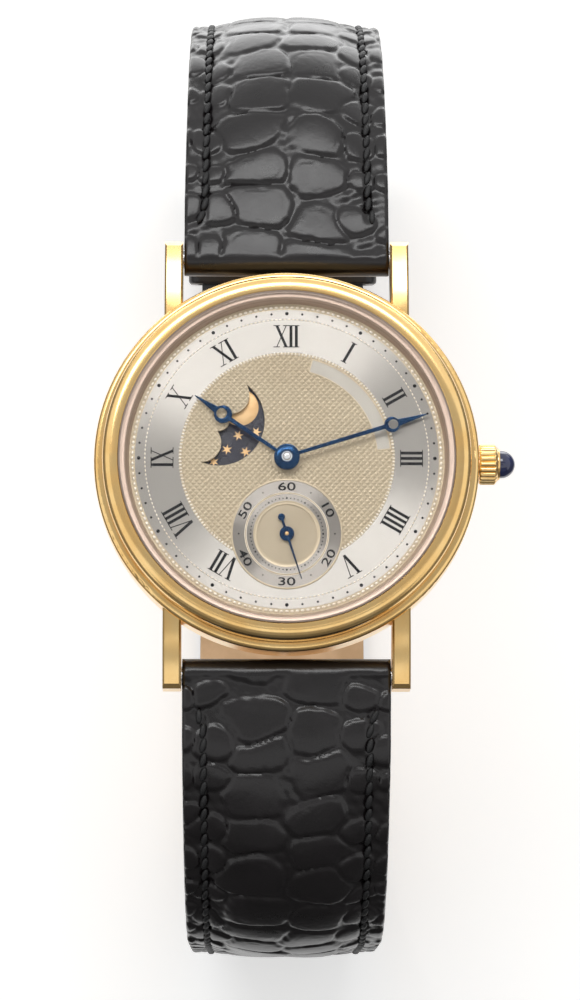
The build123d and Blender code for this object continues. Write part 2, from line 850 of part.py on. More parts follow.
pivot_low = bridge_z + slip
pivot_high = plate_z + bridge_thickness
with BuildPart() as centre_wheel:
    with BuildSketch(level(centre_z)):
        add(crossed_wheel(centre_teeth, train_module, direction_centre_third, 5))
    extrude(amount=wheel_thickness)
    with BuildSketch(level(low_level)):
        add(gear_face(centre_pinion_leaves, barrel_module,
                      gap_phase(direction_barrel_centre, centre_pinion_leaves)))
    extrude(amount=barrel_height / 2)
    with BuildSketch(level(pivot_low)):
        Circle(centre_arbor_radius)
    extrude(amount=centre_arbor_top - pivot_low)
finish(centre_wheel.part, "centre_wheel")

third_wheel = wheel_on_arbor(
    third_at, crossed_wheel(third_teeth, seconds_module, direction_third_fourth, 5), third_z,
    gear_face(third_pinion_leaves, train_module, gap_phase(direction_centre_third, third_pinion_leaves)),
    third_z + wheel_thickness, centre_z - third_z, pivot_low, pivot_high)
finish(third_wheel.part, "third_wheel")

seconds_train = wheel_on_arbor(
    fourth_at, crossed_wheel(fourth_teeth, escape_module, direction_fourth_escape, 5), low_level,
    gear_face(fourth_pinion_leaves, seconds_module, gap_phase(direction_third_fourth, fourth_pinion_leaves)),
    low_level + wheel_thickness, third_z - low_level, pivot_low, pivot_high)
with BuildPart() as fourth_wheel:
    add(seconds_train.part)
    with BuildSketch(level(plate_z - level_gap, fourth_at)):
        Circle(arbor_radius)
    extrude(amount=seconds_hand_z + hand_thickness - plate_z + level_gap)
finish(fourth_wheel.part, "fourth_wheel")

escape_spoke_hub = 0.4
escape_arm = 0.16
with BuildSketch() as escape_face:
    add(saw_face(escape_teeth, escape_root_radius, escape_radius, balance_direction))
    add(spokes(escape_root_radius - escape_arm, escape_spoke_hub, 4, escape_arm), mode=Mode.SUBTRACT)
escape_wheel = wheel_on_arbor(
    escape_at, escape_face.sketch, escape_z,
    gear_face(escape_pinion_leaves, escape_module,
              gap_phase(direction_fourth_escape, escape_pinion_leaves)),
    low_level, 3 * wheel_thickness, pivot_low, pivot_high)
finish(escape_wheel.part, "escape_wheel")

# Barrel: toothed drum, cover, arbor and coiled mainspring
drum_radius = (barrel_teeth / 2 - dedendum_share) * barrel_module - slip
with BuildPart() as barrel_drum:
    with BuildSketch(level(low_level, barrel_at)):
        add(gear_face(barrel_teeth, barrel_module, direction_barrel_centre))
        Circle(barrel_pivot_radius + running_gap, mode=Mode.SUBTRACT)
    extrude(amount=barrel_tooth_height)
    with BuildSketch(level(low_level + barrel_tooth_height, barrel_at)):
        Circle(drum_radius)
        Circle(drum_radius - barrel_wall, mode=Mode.SUBTRACT)
    extrude(amount=barrel_height - barrel_tooth_height)
finish(barrel_drum.part, "barrel_drum")

cover_z = low_level + barrel_height - barrel_floor
with BuildPart() as barrel_cover:
    with BuildSketch(level(cover_z, barrel_at)):
        Circle(drum_radius - barrel_wall)
        Circle(barrel_pivot_radius + running_gap, mode=Mode.SUBTRACT)
    extrude(amount=barrel_floor)
finish(barrel_cover.part, "barrel_cover")

spring_z = low_level + barrel_tooth_height + slip
spring_height = cover_z - spring_z - slip
with BuildPart() as mainspring:
    with BuildSketch(level(spring_z, barrel_at)):
        add(spiral_face(mainspring_turns, barrel_arbor_radius + mainspring_strip, mainspring_pitch,
                        mainspring_strip))
    extrude(amount=spring_height)
finish(mainspring.part, "mainspring")

with BuildPart() as barrel_arbor:
    with BuildSketch(level(winding_z, barrel_at)):
        Circle(barrel_pivot_radius)
    extrude(amount=pivot_high - winding_z)
    with BuildSketch(level(spring_z, barrel_at)):
        Circle(barrel_arbor_radius)
    extrude(amount=spring_height)
finish(barrel_arbor.part, "barrel_arbor")

# Winding wheels on the outside of the barrel bridge, and the click
direction_ratchet_crown = direction_of(barrel_at, crown_wheel_at)
with BuildPart() as ratchet_wheel:
    with BuildSketch(level(winding_z, barrel_at)):
        add(gear_face(ratchet_teeth, winding_module, direction_ratchet_crown))
        Circle(barrel_pivot_radius, mode=Mode.SUBTRACT)
    extrude(amount=winding_wheel_thickness)
finish(ratchet_wheel.part, "ratchet_wheel")

with BuildPart() as crown_wheel:
    with BuildSketch(level(winding_z, crown_wheel_at)):
        add(gear_face(crown_wheel_teeth, winding_module,
                      gap_phase(direction_ratchet_crown, crown_wheel_teeth)))
        Circle(crown_wheel_stud + running_gap, mode=Mode.SUBTRACT)
    extrude(amount=winding_wheel_thickness)
finish(crown_wheel.part, "crown_wheel")

click_hub = 0.62
click_beak_angle = 139.0
click_beak_width = 0.12
with BuildPart() as click:
    beak_radius = (ratchet_teeth / 2 + addendum_share) * winding_module + slip
    with BuildSketch(level(winding_z)):
        with Locations(click_at):
            Circle(click_hub)
        add(bar_face(click_at, polar(beak_radius + click_beak_width, click_beak_angle, *barrel_at),
                     click_hub, click_beak_width))
        with Locations(click_at):
            Circle(click_stud_radius + running_gap, mode=Mode.SUBTRACT)
        with Locations(barrel_at):
            Circle(beak_radius, mode=Mode.SUBTRACT)
    extrude(amount=winding_wheel_thickness)
finish(click.part, "click")

# Pallet fork and its stones
stone_spread = 40.0
stone_width = 0.16
stone_low = escape_radius + slip
stone_high = 2.45
pallet_arm_width = 0.34
lever_width = 0.22
fork_width = 0.62
fork_length = 0.42
fork_slot = impulse_pin_radius * 2 + 2 * running_gap
fork_place = balance_distance - pallet_distance - impulse_radius
pallet_plane = Plane(origin=(*pallet_at, escape_z), x_dir=(*polar(1, balance_direction), 0))


def stones():
    faces = []
    for side in (-1, 1):
        low = polar(stone_low, side * stone_spread, -pallet_distance, 0)
        high = polar(stone_high, side * stone_spread, -pallet_distance, 0)
        faces.append(bar_face(low, high, stone_width, stone_width))
    return faces


with BuildPart() as pallet_fork:
    with BuildSketch(pallet_plane):
        Circle(pallet_arm_width)
        for side in (-1, 1):
            end = polar(stone_high, side * stone_spread, -pallet_distance, 0)
            add(bar_face((0, 0), end, pallet_arm_width, pallet_arm_width))
            with Locations(end):
                Circle(pallet_arm_width / 2)
        Rectangle(fork_place, lever_width, align=(Align.MIN, Align.CENTER))
        with Locations((fork_place - fork_length / 2, 0)):
            Rectangle(fork_length, fork_width, align=(Align.MIN, Align.CENTER))
        with Locations((fork_place - impulse_pin_radius - running_gap, 0)):
            Rectangle(fork_length, fork_slot, align=(Align.MIN, Align.CENTER), mode=Mode.SUBTRACT)
        for face in stones():
            add(face, mode=Mode.SUBTRACT)
    extrude(amount=wheel_thickness)
    with BuildSketch(level(pallet_bridge_z + slip, pallet_at)):
        Circle(pivot_radius)
    extrude(amount=pivot_high - pallet_bridge_z - slip)
finish(pallet_fork.part, "pallet_fork")

with BuildPart() as pallet_stones:
    with BuildSketch(pallet_plane):
        for face in stones():
            add(face)
    extrude(amount=wheel_thickness)
finish(pallet_stones.part, "pallet_stones")

# Balance, staff with roller and impulse pin, hairspring
balance_hub = 0.5
balance_arm = 0.36
roller_z = pallet_bridge_z + pallet_bridge_thickness / 3
roller_thickness = 0.1
with BuildPart() as balance_wheel:
    with BuildSketch(level(balance_z, balance_at)):
        Circle(balance_radius)
        Circle(balance_radius - balance_rim, mode=Mode.SUBTRACT)
    extrude(amount=balance_rim_height)
    with BuildSketch(level(balance_z, balance_at)):
        Circle(balance_hub)
        Rectangle(2 * balance_radius - balance_rim, balance_arm, rotation=balance_direction - 90)
        Circle(balance_staff_radius, mode=Mode.SUBTRACT)
    extrude(amount=balance_rim_height / 2)
finish(balance_wheel.part, "balance_wheel")

with BuildPart() as balance_staff:
    with BuildSketch(level(low_level, balance_at)):
        Circle(balance_staff_radius)
    extrude(amount=train_height - 2 * level_gap)
    with BuildSketch(level(pivot_low, balance_at)):
        Circle(pivot_radius)
    extrude(amount=pivot_high - pivot_low)
    with BuildSketch(level(hairspring_z, balance_at)):
        Circle(hairspring_inner - hairspring_strip)
    extrude(amount=hairspring_height)
    with BuildSketch(level(roller_z, balance_at)):
        Circle(roller_radius)
    extrude(amount=roller_thickness)
    with BuildSketch(level(roller_z, polar(-impulse_radius, balance_direction, *balance_at))):
        Circle(impulse_pin_radius)
    extrude(amount=escape_z + wheel_thickness - roller_z)
finish(balance_staff.part, "balance_staff")

with BuildPart() as hairspring:
    with BuildSketch(level(hairspring_z, balance_at)):
        add(spiral_face(hairspring_turns, hairspring_inner, hairspring_pitch, hairspring_strip))
    extrude(amount=hairspring_height)
finish(hairspring.part, "hairspring")

# Motion works under the dial
direction_cannon_minute = direction_of(centre_at, minute_at)
direction_hour_day = direction_of(centre_at, day_at)
cannon_bore = centre_arbor_radius + running_gap
hour_bore = cannon_radius + running_gap
with BuildPart() as cannon_pinion:
    with BuildSketch(level(motion_z)):
        add(gear_face(cannon_leaves, motion_module, direction_cannon_minute))
    extrude(amount=motion_wheel_thickness)
    with BuildSketch(level(motion_z)):
        Circle(cannon_radius)
    extrude(amount=minute_hand_z + hand_thickness - motion_z)
    with BuildSketch(level(motion_z)):
        Circle(cannon_bore)
    extrude(amount=centre_arbor_top - motion_z, mode=Mode.SUBTRACT)
finish(cannon_pinion.part, "cannon_pinion")

with BuildPart() as minute_wheel:
    with BuildSketch(level(motion_z, minute_at)):
        add(crossed_wheel(minute_teeth, motion_module, gap_phase(direction_cannon_minute, minute_teeth), 4))
    extrude(amount=motion_wheel_thickness)
    with BuildSketch(level(motion_z + motion_wheel_thickness, minute_at)):
        add(gear_face(minute_pinion_leaves, hour_module,
                      gap_phase(direction_cannon_minute, minute_pinion_leaves)))
    extrude(amount=level_gap + motion_wheel_thickness)
    with BuildSketch(level(motion_z, minute_at)):
        Circle(stud_radius + running_gap)
    extrude(amount=2 * motion_wheel_thickness + level_gap, mode=Mode.SUBTRACT)
finish(minute_wheel.part, "minute_wheel")

with BuildPart() as hour_wheel:
    with BuildSketch(level(hour_wheel_z)):
        add(gear_face(hour_teeth, hour_module, direction_cannon_minute))
    extrude(amount=motion_wheel_thickness)
    with BuildSketch(level(day_wheel_z)):
        add(gear_face(hour_pinion_leaves, day_module, direction_hour_day))
    extrude(amount=motion_wheel_thickness)
    with BuildSketch(level(hour_wheel_z)):
        Circle(hour_pipe_radius)
    extrude(amount=hour_hand_z + hand_thickness - hour_wheel_z)
    with BuildSketch(level(hour_wheel_z)):
        Circle(hour_bore)
    extrude(amount=centre_arbor_top - hour_wheel_z, mode=Mode.SUBTRACT)
finish(hour_wheel.part, "hour_wheel")

# 24-hour wheel, whose finger steps the moon disc one tooth a day
finger_width = 0.26
finger_hub_radius = 0.55
finger_direction = 230.0
day_moon_distance = sqrt((day_at[0] - moon_x) ** 2 + (day_at[1] - moon_y) ** 2)
moon_module = 2 * moon_disc_radius / moon_teeth
moon_tip = moon_disc_radius + addendum_share * moon_module
finger_length = day_moon_distance - moon_disc_radius - slip
with BuildPart() as day_wheel:
    with BuildSketch(level(day_wheel_z, day_at)):
        add(crossed_wheel(day_teeth, day_module, gap_phase(direction_hour_day, day_teeth), 4))
    extrude(amount=motion_wheel_thickness)
    with BuildSketch(level(day_wheel_z, day_at)):
        Circle(finger_hub_radius)
    extrude(amount=moon_disc_z - day_wheel_z)
    with BuildSketch(level(moon_disc_z, day_at)):
        Circle(finger_hub_radius)
        add(bar_face((0, 0), polar(finger_length, finger_direction), 2 * finger_width, finger_width))
    extrude(amount=moon_disc_thickness)
    with BuildSketch(level(day_wheel_z, day_at)):
        Circle(stud_radius + running_gap)
    extrude(amount=dial_z - day_wheel_z, mode=Mode.SUBTRACT)
finish(day_wheel.part, "day_wheel")

with BuildPart() as moon_disc:
    with BuildSketch(level(moon_disc_z, moon_at)):
        add(gear_face(moon_teeth, moon_module, 0))
        Circle(moon_post_radius + running_gap, mode=Mode.SUBTRACT)
    extrude(amount=moon_disc_thickness)
finish(moon_disc.part, "moon_disc")

jumper_foot = (-9.3, -3.3)
jumper_foot_radius = 0.7
jumper_width = 0.26
jumper_beak = 0.16
jumper_direction = 200.0
with BuildPart() as moon_jumper:
    beak_at = polar(moon_tip + jumper_beak, jumper_direction, *moon_at)
    with BuildSketch(level(moon_disc_z)):
        add(bar_face(jumper_foot, beak_at, 2 * jumper_width, jumper_width))
        with Locations(beak_at):
            Circle(jumper_beak)
    extrude(amount=moon_disc_thickness)
    with BuildSketch(level(plate_top, jumper_foot)):
        Circle(jumper_foot_radius)
    extrude(amount=moon_disc_z + moon_disc_thickness - plate_top)
finish(moon_jumper.part, "moon_jumper")

# Dial: sunk seconds ring, shaped moon aperture, centre hole and two feet
with BuildPart() as dial:
    with BuildSketch(level(dial_z)):
        Circle(dial_radius)
        Circle(dial_hole, mode=Mode.SUBTRACT)
        with Locations(fourth_at):
            Circle(seconds_tube_hole, mode=Mode.SUBTRACT)
    extrude(amount=dial_thickness)
    with BuildSketch(level(dial_top, fourth_at)):
        Circle(seconds_dial_radius)
    extrude(amount=-seconds_dial_sink, mode=Mode.SUBTRACT)
    with BuildSketch(level(dial_z, moon_at)):
        Circle(moon_window_radius)
        Rectangle(2 * moon_window_radius, 4 * moon_window_radius, align=(Align.MAX, Align.CENTER),
                  rotation=moon_window_direction, mode=Mode.SUBTRACT)
        Circle(moon_hub_cover, mode=Mode.SUBTRACT)
        for side in (-1, 1):
            with Locations(polar(moon_scallop_distance, moon_window_direction + side * moon_scallop_spread)):
                Circle(moon_scallop_radius, mode=Mode.SUBTRACT)
    extrude(amount=dial_thickness, mode=Mode.SUBTRACT)
    with BuildSketch(level(dial_z)):
        with Locations(*[polar(dial_foot_place, angle) for angle in dial_foot_angles]):
            Circle(dial_foot_radius)
    extrude(amount=-dial_foot_length)
finish(dial.part, "dial")

# Hands: open rings on slim shafts, each hand lying along its own local X
leaf_start_share = 0.8


def hand_plane(angle, z, centre=(0, 0)):
    return Plane(origin=(*centre, z), x_dir=(sin(radians(angle)), cos(radians(angle)), 0))


def ring_hand(length, ring_place, ring_radius, ring_hole, hub, bore):
    leaf_start = ring_place + leaf_start_share * ring_radius
    with BuildSketch() as face:
        Circle(hub)
        add(bar_face((0, 0), (ring_place, 0), hand_shaft_width, hand_shaft_tip_width))
        with Locations((ring_place, 0)):
            Circle(ring_radius)
        add(bar_face((leaf_start, 0), (length, 0), hand_leaf_width, hand_point_width))
        with Locations((ring_place, 0)):
            Circle(ring_hole, mode=Mode.SUBTRACT)
        Circle(bore, mode=Mode.SUBTRACT)
    return face.sketch


hub_boss_share = 0.88
with BuildPart() as hour_hand:
    with BuildSketch(hand_plane(hour_hand_angle, hour_hand_z)):
        add(ring_hand(hour_hand_length, hour_ring_place, hour_ring_radius, hour_ring_hole,
                      hand_hub_radius, hour_pipe_radius))
    extrude(amount=hand_thickness)
finish(hour_hand.part, "hour_hand")

with BuildPart() as minute_hand:
    with BuildSketch(hand_plane(minute_hand_angle, minute_hand_z)):
        add(ring_hand(minute_hand_length, minute_ring_place, minute_ring_radius, minute_ring_hole,
                      hand_hub_radius, cannon_radius))
    extrude(amount=hand_thickness)
    with BuildSketch(level(minute_hand_z + hand_thickness)):
        Circle(hub_boss_share * hand_hub_radius)
        Circle(cannon_bore, mode=Mode.SUBTRACT)
    extrude(amount=hand_thickness)
finish(minute_hand.part, "minute_hand")

with BuildPart() as seconds_hand:
    with BuildSketch(hand_plane(seconds_hand_angle, seconds_hand_z, fourth_at)):
        Circle(seconds_hub_radius)
        add(bar_face((-seconds_tail, 0), (seconds_hand_length, 0), seconds_shaft_width, seconds_point_width))
        with Locations((-seconds_tail, 0)):
            Circle(seconds_tail_radius)
        Circle(arbor_radius, mode=Mode.SUBTRACT)
    extrude(amount=hand_thickness)
finish(seconds_hand.part, "seconds_hand")

# Crown, its stone, the tube in the case and the stem
crown_start = case_radius + slip
crown_end = crown_start + crown_length
flute_place_share = 0.3
with BuildPart() as crown:
    with BuildSketch(crown_plane(crown_start)):
        Circle(crown_radius)
    extrude(amount=crown_length)
    chamfer(crown.faces().sort_by(Axis.X)[-1].edges(), length=crown_flute_radius)
    chamfer(crown.faces().sort_by(Axis.X)[0].edges(), length=crown_flute_radius / 2)
    with BuildSketch(crown_plane(crown_start - overrun)):
        with PolarLocations(crown_radius + flute_place_share * crown_flute_radius, crown_flutes):
            Circle(crown_flute_radius)
    extrude(amount=crown_length + 2 * overrun, mode=Mode.SUBTRACT)
    with BuildSketch(crown_plane(crown_end)):
        Circle(crown_collar_radius)
    extrude(amount=crown_collar_length)
    with BuildSketch(crown_plane(crown_start)):
        Circle(crown_cavity_radius)
    extrude(amount=crown_cavity_depth, mode=Mode.SUBTRACT)
finish(crown.part, "crown")

stone_start = crown_end + crown_collar_length
stone_dome_start = stone_start + cabochon_height - cabochon_radius
with BuildPart() as crown_cabochon:
    with BuildSketch(Plane.XZ):
        with BuildLine():
            Polyline((stone_dome_start + cabochon_radius, stem_z), (stone_start, stem_z),
                     (stone_start, stem_z + cabochon_radius), (stone_dome_start, stem_z + cabochon_radius))
            CenterArc((stone_dome_start, stem_z), cabochon_radius, 0, 90)
        make_face()
    revolve(axis=Axis((stone_start, 0, stem_z), (1, 0, 0)))
finish(crown_cabochon.part, "crown_cabochon")

with BuildPart() as crown_tube:
    with BuildSketch(crown_plane(case_bore + slip)):
        Circle(tube_radius)
        Circle(stem_radius + running_gap, mode=Mode.SUBTRACT)
    extrude(amount=case_radius + tube_projection - case_bore - slip)
finish(crown_tube.part, "crown_tube")

with BuildPart() as winding_stem:
    with BuildSketch(crown_plane(stem_start)):
        Rectangle(stem_square, stem_square)
    extrude(amount=stem_square_end - stem_start)
    with BuildSketch(crown_plane(stem_square_end)):
        Circle(stem_radius)
    extrude(amount=crown_start + crown_cavity_depth - stem_square_end)
    with BuildSketch(crown_plane(stem_groove_place - stem_groove_width / 2)):
        Circle(stem_radius)
        Circle(stem_groove_radius, mode=Mode.SUBTRACT)
    extrude(amount=stem_groove_width, mode=Mode.SUBTRACT)
finish(winding_stem.part, "winding_stem")

clutch_leaves = 12
clutch_module = 2 * sliding_pinion_radius / (clutch_leaves + 2 * addendum_share)
winding_leaf_module = 2 * winding_pinion_radius / (winding_pinion_leaves + 2 * addendum_share)
with BuildPart() as sliding_pinion:
    with BuildSketch(crown_plane(sliding_pinion_start)):
        add(gear_face(clutch_leaves, clutch_module, 0))
        Rectangle(stem_square + 2 * slip, stem_square + 2 * slip, mode=Mode.SUBTRACT)
    extrude(amount=winding_pinion_start - sliding_pinion_start)
finish(sliding_pinion.part, "sliding_pinion")

with BuildPart() as winding_pinion:
    with BuildSketch(crown_plane(winding_pinion_start)):
        add(gear_face(winding_pinion_leaves, winding_leaf_module, 0))
        Circle(stem_radius + running_gap, mode=Mode.SUBTRACT)
    extrude(amount=winding_pinion_width)
finish(winding_pinion.part, "winding_pinion")

# Setting lever, with the pin that sits in the stem's groove
lever_pin_radius = 0.17
with BuildPart() as setting_lever:
    with BuildSketch(level(bridge_top + slip)):
        with Locations(lever_pivot):
            Circle(setting_lever_radius)
        add(bar_face(lever_pivot, (stem_groove_place, 0), setting_lever_radius, 2 * lever_pin_radius))
        with Locations((stem_groove_place, 0)):
            Circle(lever_pin_radius)
        with Locations(lever_pivot):
            Circle(lever_post_radius + running_gap, mode=Mode.SUBTRACT)
    extrude(amount=setting_lever_thickness)
    with BuildSketch(level(bridge_top + slip, (stem_groove_place, 0))):
        Circle(lever_pin_radius)
    extrude(amount=stem_z - stem_groove_radius - bridge_top - 2 * slip)
finish(setting_lever.part, "setting_lever")

# Spring bars between the lugs
bar_half = lug_gap / 2 - slip
with BuildPart() as spring_bars:
    for side in (-1, 1):
        with BuildSketch(Plane(origin=(0, side * bar_reach, bar_height), x_dir=(0, 1, 0), z_dir=(1, 0, 0))):
            Circle(bar_radius)
        extrude(amount=bar_half, both=True)
        with BuildSketch(Plane(origin=(0, side * bar_reach, bar_height), x_dir=(0, 1, 0), z_dir=(1, 0, 0))):
            Circle(bar_tip_radius)
        extrude(amount=lug_gap / 2 + bar_tip_length, both=True)
finish(spring_bars.part, "spring_bars")

# Strap centre line: straight and bent legs of (length, turn in degrees)
drop_turn = drop_heading - strap_slope
upper_turn = upper_end_heading - drop_heading
lower_turn = flat_heading - drop_heading
upper_legs = ((upper_reach_straight, 0), (upper_first_bend * radians(drop_turn), drop_turn),
              (upper_drop, 0), (upper_second_bend * radians(upper_turn), upper_turn))
lower_legs = ((lower_reach_straight, 0), (lower_first_bend * radians(drop_turn), drop_turn),
              (lower_drop, 0), (lower_second_bend * radians(lower_turn), lower_turn))


def station(legs, distance):
    out, z, heading = bar_reach, bar_height, radians(strap_slope)
    for length, turn in legs:
        step = min(distance, length)
        if turn:
            bend = length / radians(turn)
            after = heading + step / bend
            out += bend * (sin(after) - sin(heading))
            z += bend * (cos(after) - cos(heading))
            heading = after
        else:
            out += step * cos(heading)
            z -= step * sin(heading)
        distance -= step
    return out + distance * cos(heading), z - distance * sin(heading), heading


def across_plane(side, legs, distance):
    # Local X across the strap, local Y out of its face, normal along the strap.
    out, z, heading = station(legs, distance)
    return Plane(origin=(0, side * out, z), x_dir=(-side, 0, 0), z_dir=(0, side * cos(heading), -sin(heading)))


def edge_plane(side, legs, distance):
    # Local X along the strap, local Y out of its face, seen on its edge.
    out, z, heading = station(legs, distance)
    return Plane(origin=(0, side * out, z), x_dir=(0, side * cos(heading), -sin(heading)), z_dir=(side, 0, 0))


def face_plane(side, legs, distance):
    # Local X along the strap, normal out of its face.
    out, z, heading = station(legs, distance)
    return Plane(origin=(0, side * out, z), x_dir=(0, side * cos(heading), -sin(heading)),
                 z_dir=(0, side * sin(heading), cos(heading)))


def blend(distance, start, end, first, last):
    share = min(max((distance - start) / (end - start), 0), 1)
    return first + (last - first) * share * share * (3 - 2 * share)


def thickness_at(distance):
    if distance < pad_peak:
        return blend(distance, root_length, pad_peak, root_thickness, pad_thickness)
    return blend(distance, pad_peak, pad_end, pad_thickness, tail_thickness)


def crown_at(distance):
    if distance < pad_peak:
        return blend(distance, root_length, pad_peak, root_crown, pad_crown)
    return blend(distance, pad_peak, pad_end, pad_crown, tail_crown)


def half_width_at(distance, length):
    share = max(distance - root_length, 0) / (length - root_length)
    return (strap_width + (strap_end_width - strap_width) * share) / 2


def stations(start, end):
    count = round((end - start) / station_step)
    return [start + (end - start) * index / count for index in range(count + 1)]


def layer(plane, half_width, low, edge_high, middle_high):
    with BuildSketch(plane) as section:
        with BuildLine():
            Polyline((-half_width, edge_high), (-half_width, low), (half_width, low), (half_width, edge_high))
            if middle_high > edge_high:
                ThreePointArc((half_width, edge_high), (0, middle_high), (-half_width, edge_high))
            else:
                Line((half_width, edge_high), (-half_width, edge_high))
        make_face()
    return section.sketch


def leather_layers(side, legs, start, end, length):
    sections = []
    for distance in stations(start, end):
        thick = thickness_at(distance)
        sections.append(layer(across_plane(side, legs, distance), half_width_at(distance, length),
                              lining_thickness - thick / 2, thick / 2 - crown_at(distance), thick / 2))
    return sections


def lining_layers(side, legs, start, end, length):
    sections = []
    for distance in stations(start, end):
        thick = thickness_at(distance)
        sections.append(layer(across_plane(side, legs, distance), half_width_at(distance, length),
                              -thick / 2, lining_thickness - thick / 2, lining_thickness - thick / 2))
    return sections


filler_edge_share = 0.6


def filler_layers(side, legs, end, length, floor):
    sections = []
    for distance in stations(root_length, end):
        if distance < filler_start or distance > filler_end:
            continue
        thick = thickness_at(distance)
        sections.append(layer(across_plane(side, legs, distance),
                              half_width_at(distance, length) - filler_inset,
                              lining_thickness + floor - thick / 2,
                              thick / 2 - filler_edge_share * crown_at(distance) - filler_cover,
                              thick / 2 - filler_cover))
    return sections


def loop_end(side, legs, distance, run, loop_radius, thick, half_width):
    # The leather turned round a bar: a half round run into the strap's thickness.
    with BuildPart() as block:
        with BuildSketch(edge_plane(side, legs, distance)):
            with BuildLine():
                Polyline((0, loop_radius), (run, thick / 2), (run, -thick / 2), (0, -loop_radius))
                back = -loop_radius if run > 0 else loop_radius
                ThreePointArc((0, -loop_radius), (back, 0), (0, loop_radius))
            make_face()
        extrude(amount=half_width, both=True)
    return block.part


upper_bar_bore = bar_radius + bar_gap
strap_end_start = upper_length - end_block
end_half_width = half_width_at(upper_length, upper_length)
with BuildPart() as upper_filler:
    loft(filler_layers(1, upper_legs, strap_end_start, upper_length, filler_floor))
finish(upper_filler.part, "strap_upper_filler")

with BuildPart() as strap_upper:
    loft(leather_layers(1, upper_legs, root_length, strap_end_start, upper_length))
    loft(filler_layers(1, upper_legs, strap_end_start, upper_length, -overrun), mode=Mode.SUBTRACT)
    add(loop_end(1, upper_legs, 0, root_length, root_radius, root_thickness, strap_width / 2))
    add(loop_end(1, upper_legs, upper_length, -end_block, end_radius, tail_thickness, end_half_width))
    with BuildSketch(edge_plane(1, upper_legs, 0)):
        Circle(upper_bar_bore)
    extrude(amount=strap_width, both=True, mode=Mode.SUBTRACT)
    with BuildSketch(edge_plane(1, upper_legs, upper_length)):
        Circle(buckle_bar_radius + bar_gap)
    extrude(amount=strap_width, both=True, mode=Mode.SUBTRACT)
    with BuildSketch(face_plane(1, upper_legs, upper_length)):
        with Locations((-tongue_slot_length / 2 + end_radius, 0)):
            Rectangle(tongue_slot_length + 2 * end_radius, tongue_slot)
    extrude(amount=2 * end_radius, both=True, mode=Mode.SUBTRACT)
finish(strap_upper.part, "strap_upper")

with BuildPart() as strap_upper_lining:
    loft(lining_layers(1, upper_legs, root_length, strap_end_start, upper_length))
finish(strap_upper_lining.part, "strap_upper_lining")

# Lower half: same lug end, a rounded tip and a row of punched holes
tip_bulge_share = 0.62
tip_half_share = 0.74
tip_half_width = half_width_at(lower_length - tip_length, lower_length)


def tip_waste():
    with BuildPart() as waste:
        with BuildSketch(face_plane(-1, lower_legs, lower_length - tip_length)):
            Rectangle(tip_length + overrun, strap_width + 2 * overrun, align=(Align.MIN, Align.CENTER))
            with BuildLine():
                for side in (-1, 1):
                    ThreePointArc((0, side * tip_half_width),
                                  (tip_bulge_share * tip_length, side * tip_half_share * tip_half_width),
                                  (tip_length, 0))
                Line((0, -tip_half_width), (0, tip_half_width))
            make_face(mode=Mode.SUBTRACT)
        extrude(amount=root_thickness, both=True)
    return waste.part


def strap_hole_cuts():
    with BuildPart() as cuts:
        for index in range(strap_holes):
            distance = lower_length - strap_first_hole - index * strap_hole_pitch
            with BuildSketch(face_plane(-1, lower_legs, distance)):
                Circle(strap_hole_radius)
            extrude(amount=root_thickness, both=True)
    return cuts.part


lower_waste = tip_waste()
lower_holes = strap_hole_cuts()
with BuildPart() as lower_filler:
    loft(filler_layers(-1, lower_legs, lower_length, lower_length, filler_floor))
finish(lower_filler.part, "strap_lower_filler")

with BuildPart() as strap_lower:
    loft(leather_layers(-1, lower_legs, root_length, lower_length, lower_length))
    loft(filler_layers(-1, lower_legs, lower_length, lower_length, -overrun), mode=Mode.SUBTRACT)
    add(loop_end(-1, lower_legs, 0, root_length, root_radius, root_thickness, strap_width / 2))
    with BuildSketch(edge_plane(-1, lower_legs, 0)):
        Circle(upper_bar_bore)
    extrude(amount=strap_width, both=True, mode=Mode.SUBTRACT)
    add(lower_waste, mode=Mode.SUBTRACT)
    add(lower_holes, mode=Mode.SUBTRACT)
finish(strap_lower.part, "strap_lower")

with BuildPart() as strap_lower_lining:
    loft(lining_layers(-1, lower_legs, root_length, lower_length, lower_length))
    add(lower_waste, mode=Mode.SUBTRACT)
    add(lower_holes, mode=Mode.SUBTRACT)
finish(strap_lower_lining.part, "strap_lower_lining")


# Leather keepers: closed bands with room for the strap's tip under them
def keeper(place):
    half = half_width_at(place, upper_length) + keeper_gap
    thick = thickness_at(place)
    low = -thick / 2 - keeper_gap
    high = thick / 2 + keeper_spare
    with BuildPart() as band:
        with BuildSketch(across_plane(1, upper_legs, place)):
            with Locations((0, (low + high) / 2)):
                RectangleRounded(2 * (half + keeper_wall), high - low + 2 * keeper_wall, keeper_wall)
                Rectangle(2 * half, high - low, mode=Mode.SUBTRACT)
        extrude(amount=keeper_width / 2, both=True)
    return band.part


finish(keeper(fixed_keeper_place), "keeper_fixed")
finish(keeper(free_keeper_place), "keeper_free")

# Buckle frame, its bar and the tongue
buckle_half = buckle_inside_width / 2
with BuildPart() as buckle_frame:
    with BuildSketch(face_plane(1, upper_legs, upper_length)) as frame_face:
        with Locations(((buckle_length + buckle_front - buckle_back) / 2, 0)):
            RectangleRounded(buckle_length + buckle_front + buckle_back,
                             buckle_inside_width + 2 * buckle_arm, buckle_back)
        with Locations(((buckle_length - buckle_back - overrun) / 2, 0)):
            Rectangle(buckle_length + buckle_back + overrun, buckle_inside_width, mode=Mode.SUBTRACT)
    extrude(amount=buckle_thickness / 2, both=True)
    fillet(buckle_frame.edges().filter_by(GeomType.LINE).group_by(SortBy.LENGTH)[-1], radius=buckle_edge)
    with BuildSketch(edge_plane(1, upper_legs, upper_length)):
        Circle(bar_tip_radius)
    extrude(amount=buckle_half + bar_tip_length + slip, both=True, mode=Mode.SUBTRACT)
finish(buckle_frame.part, "buckle_frame")

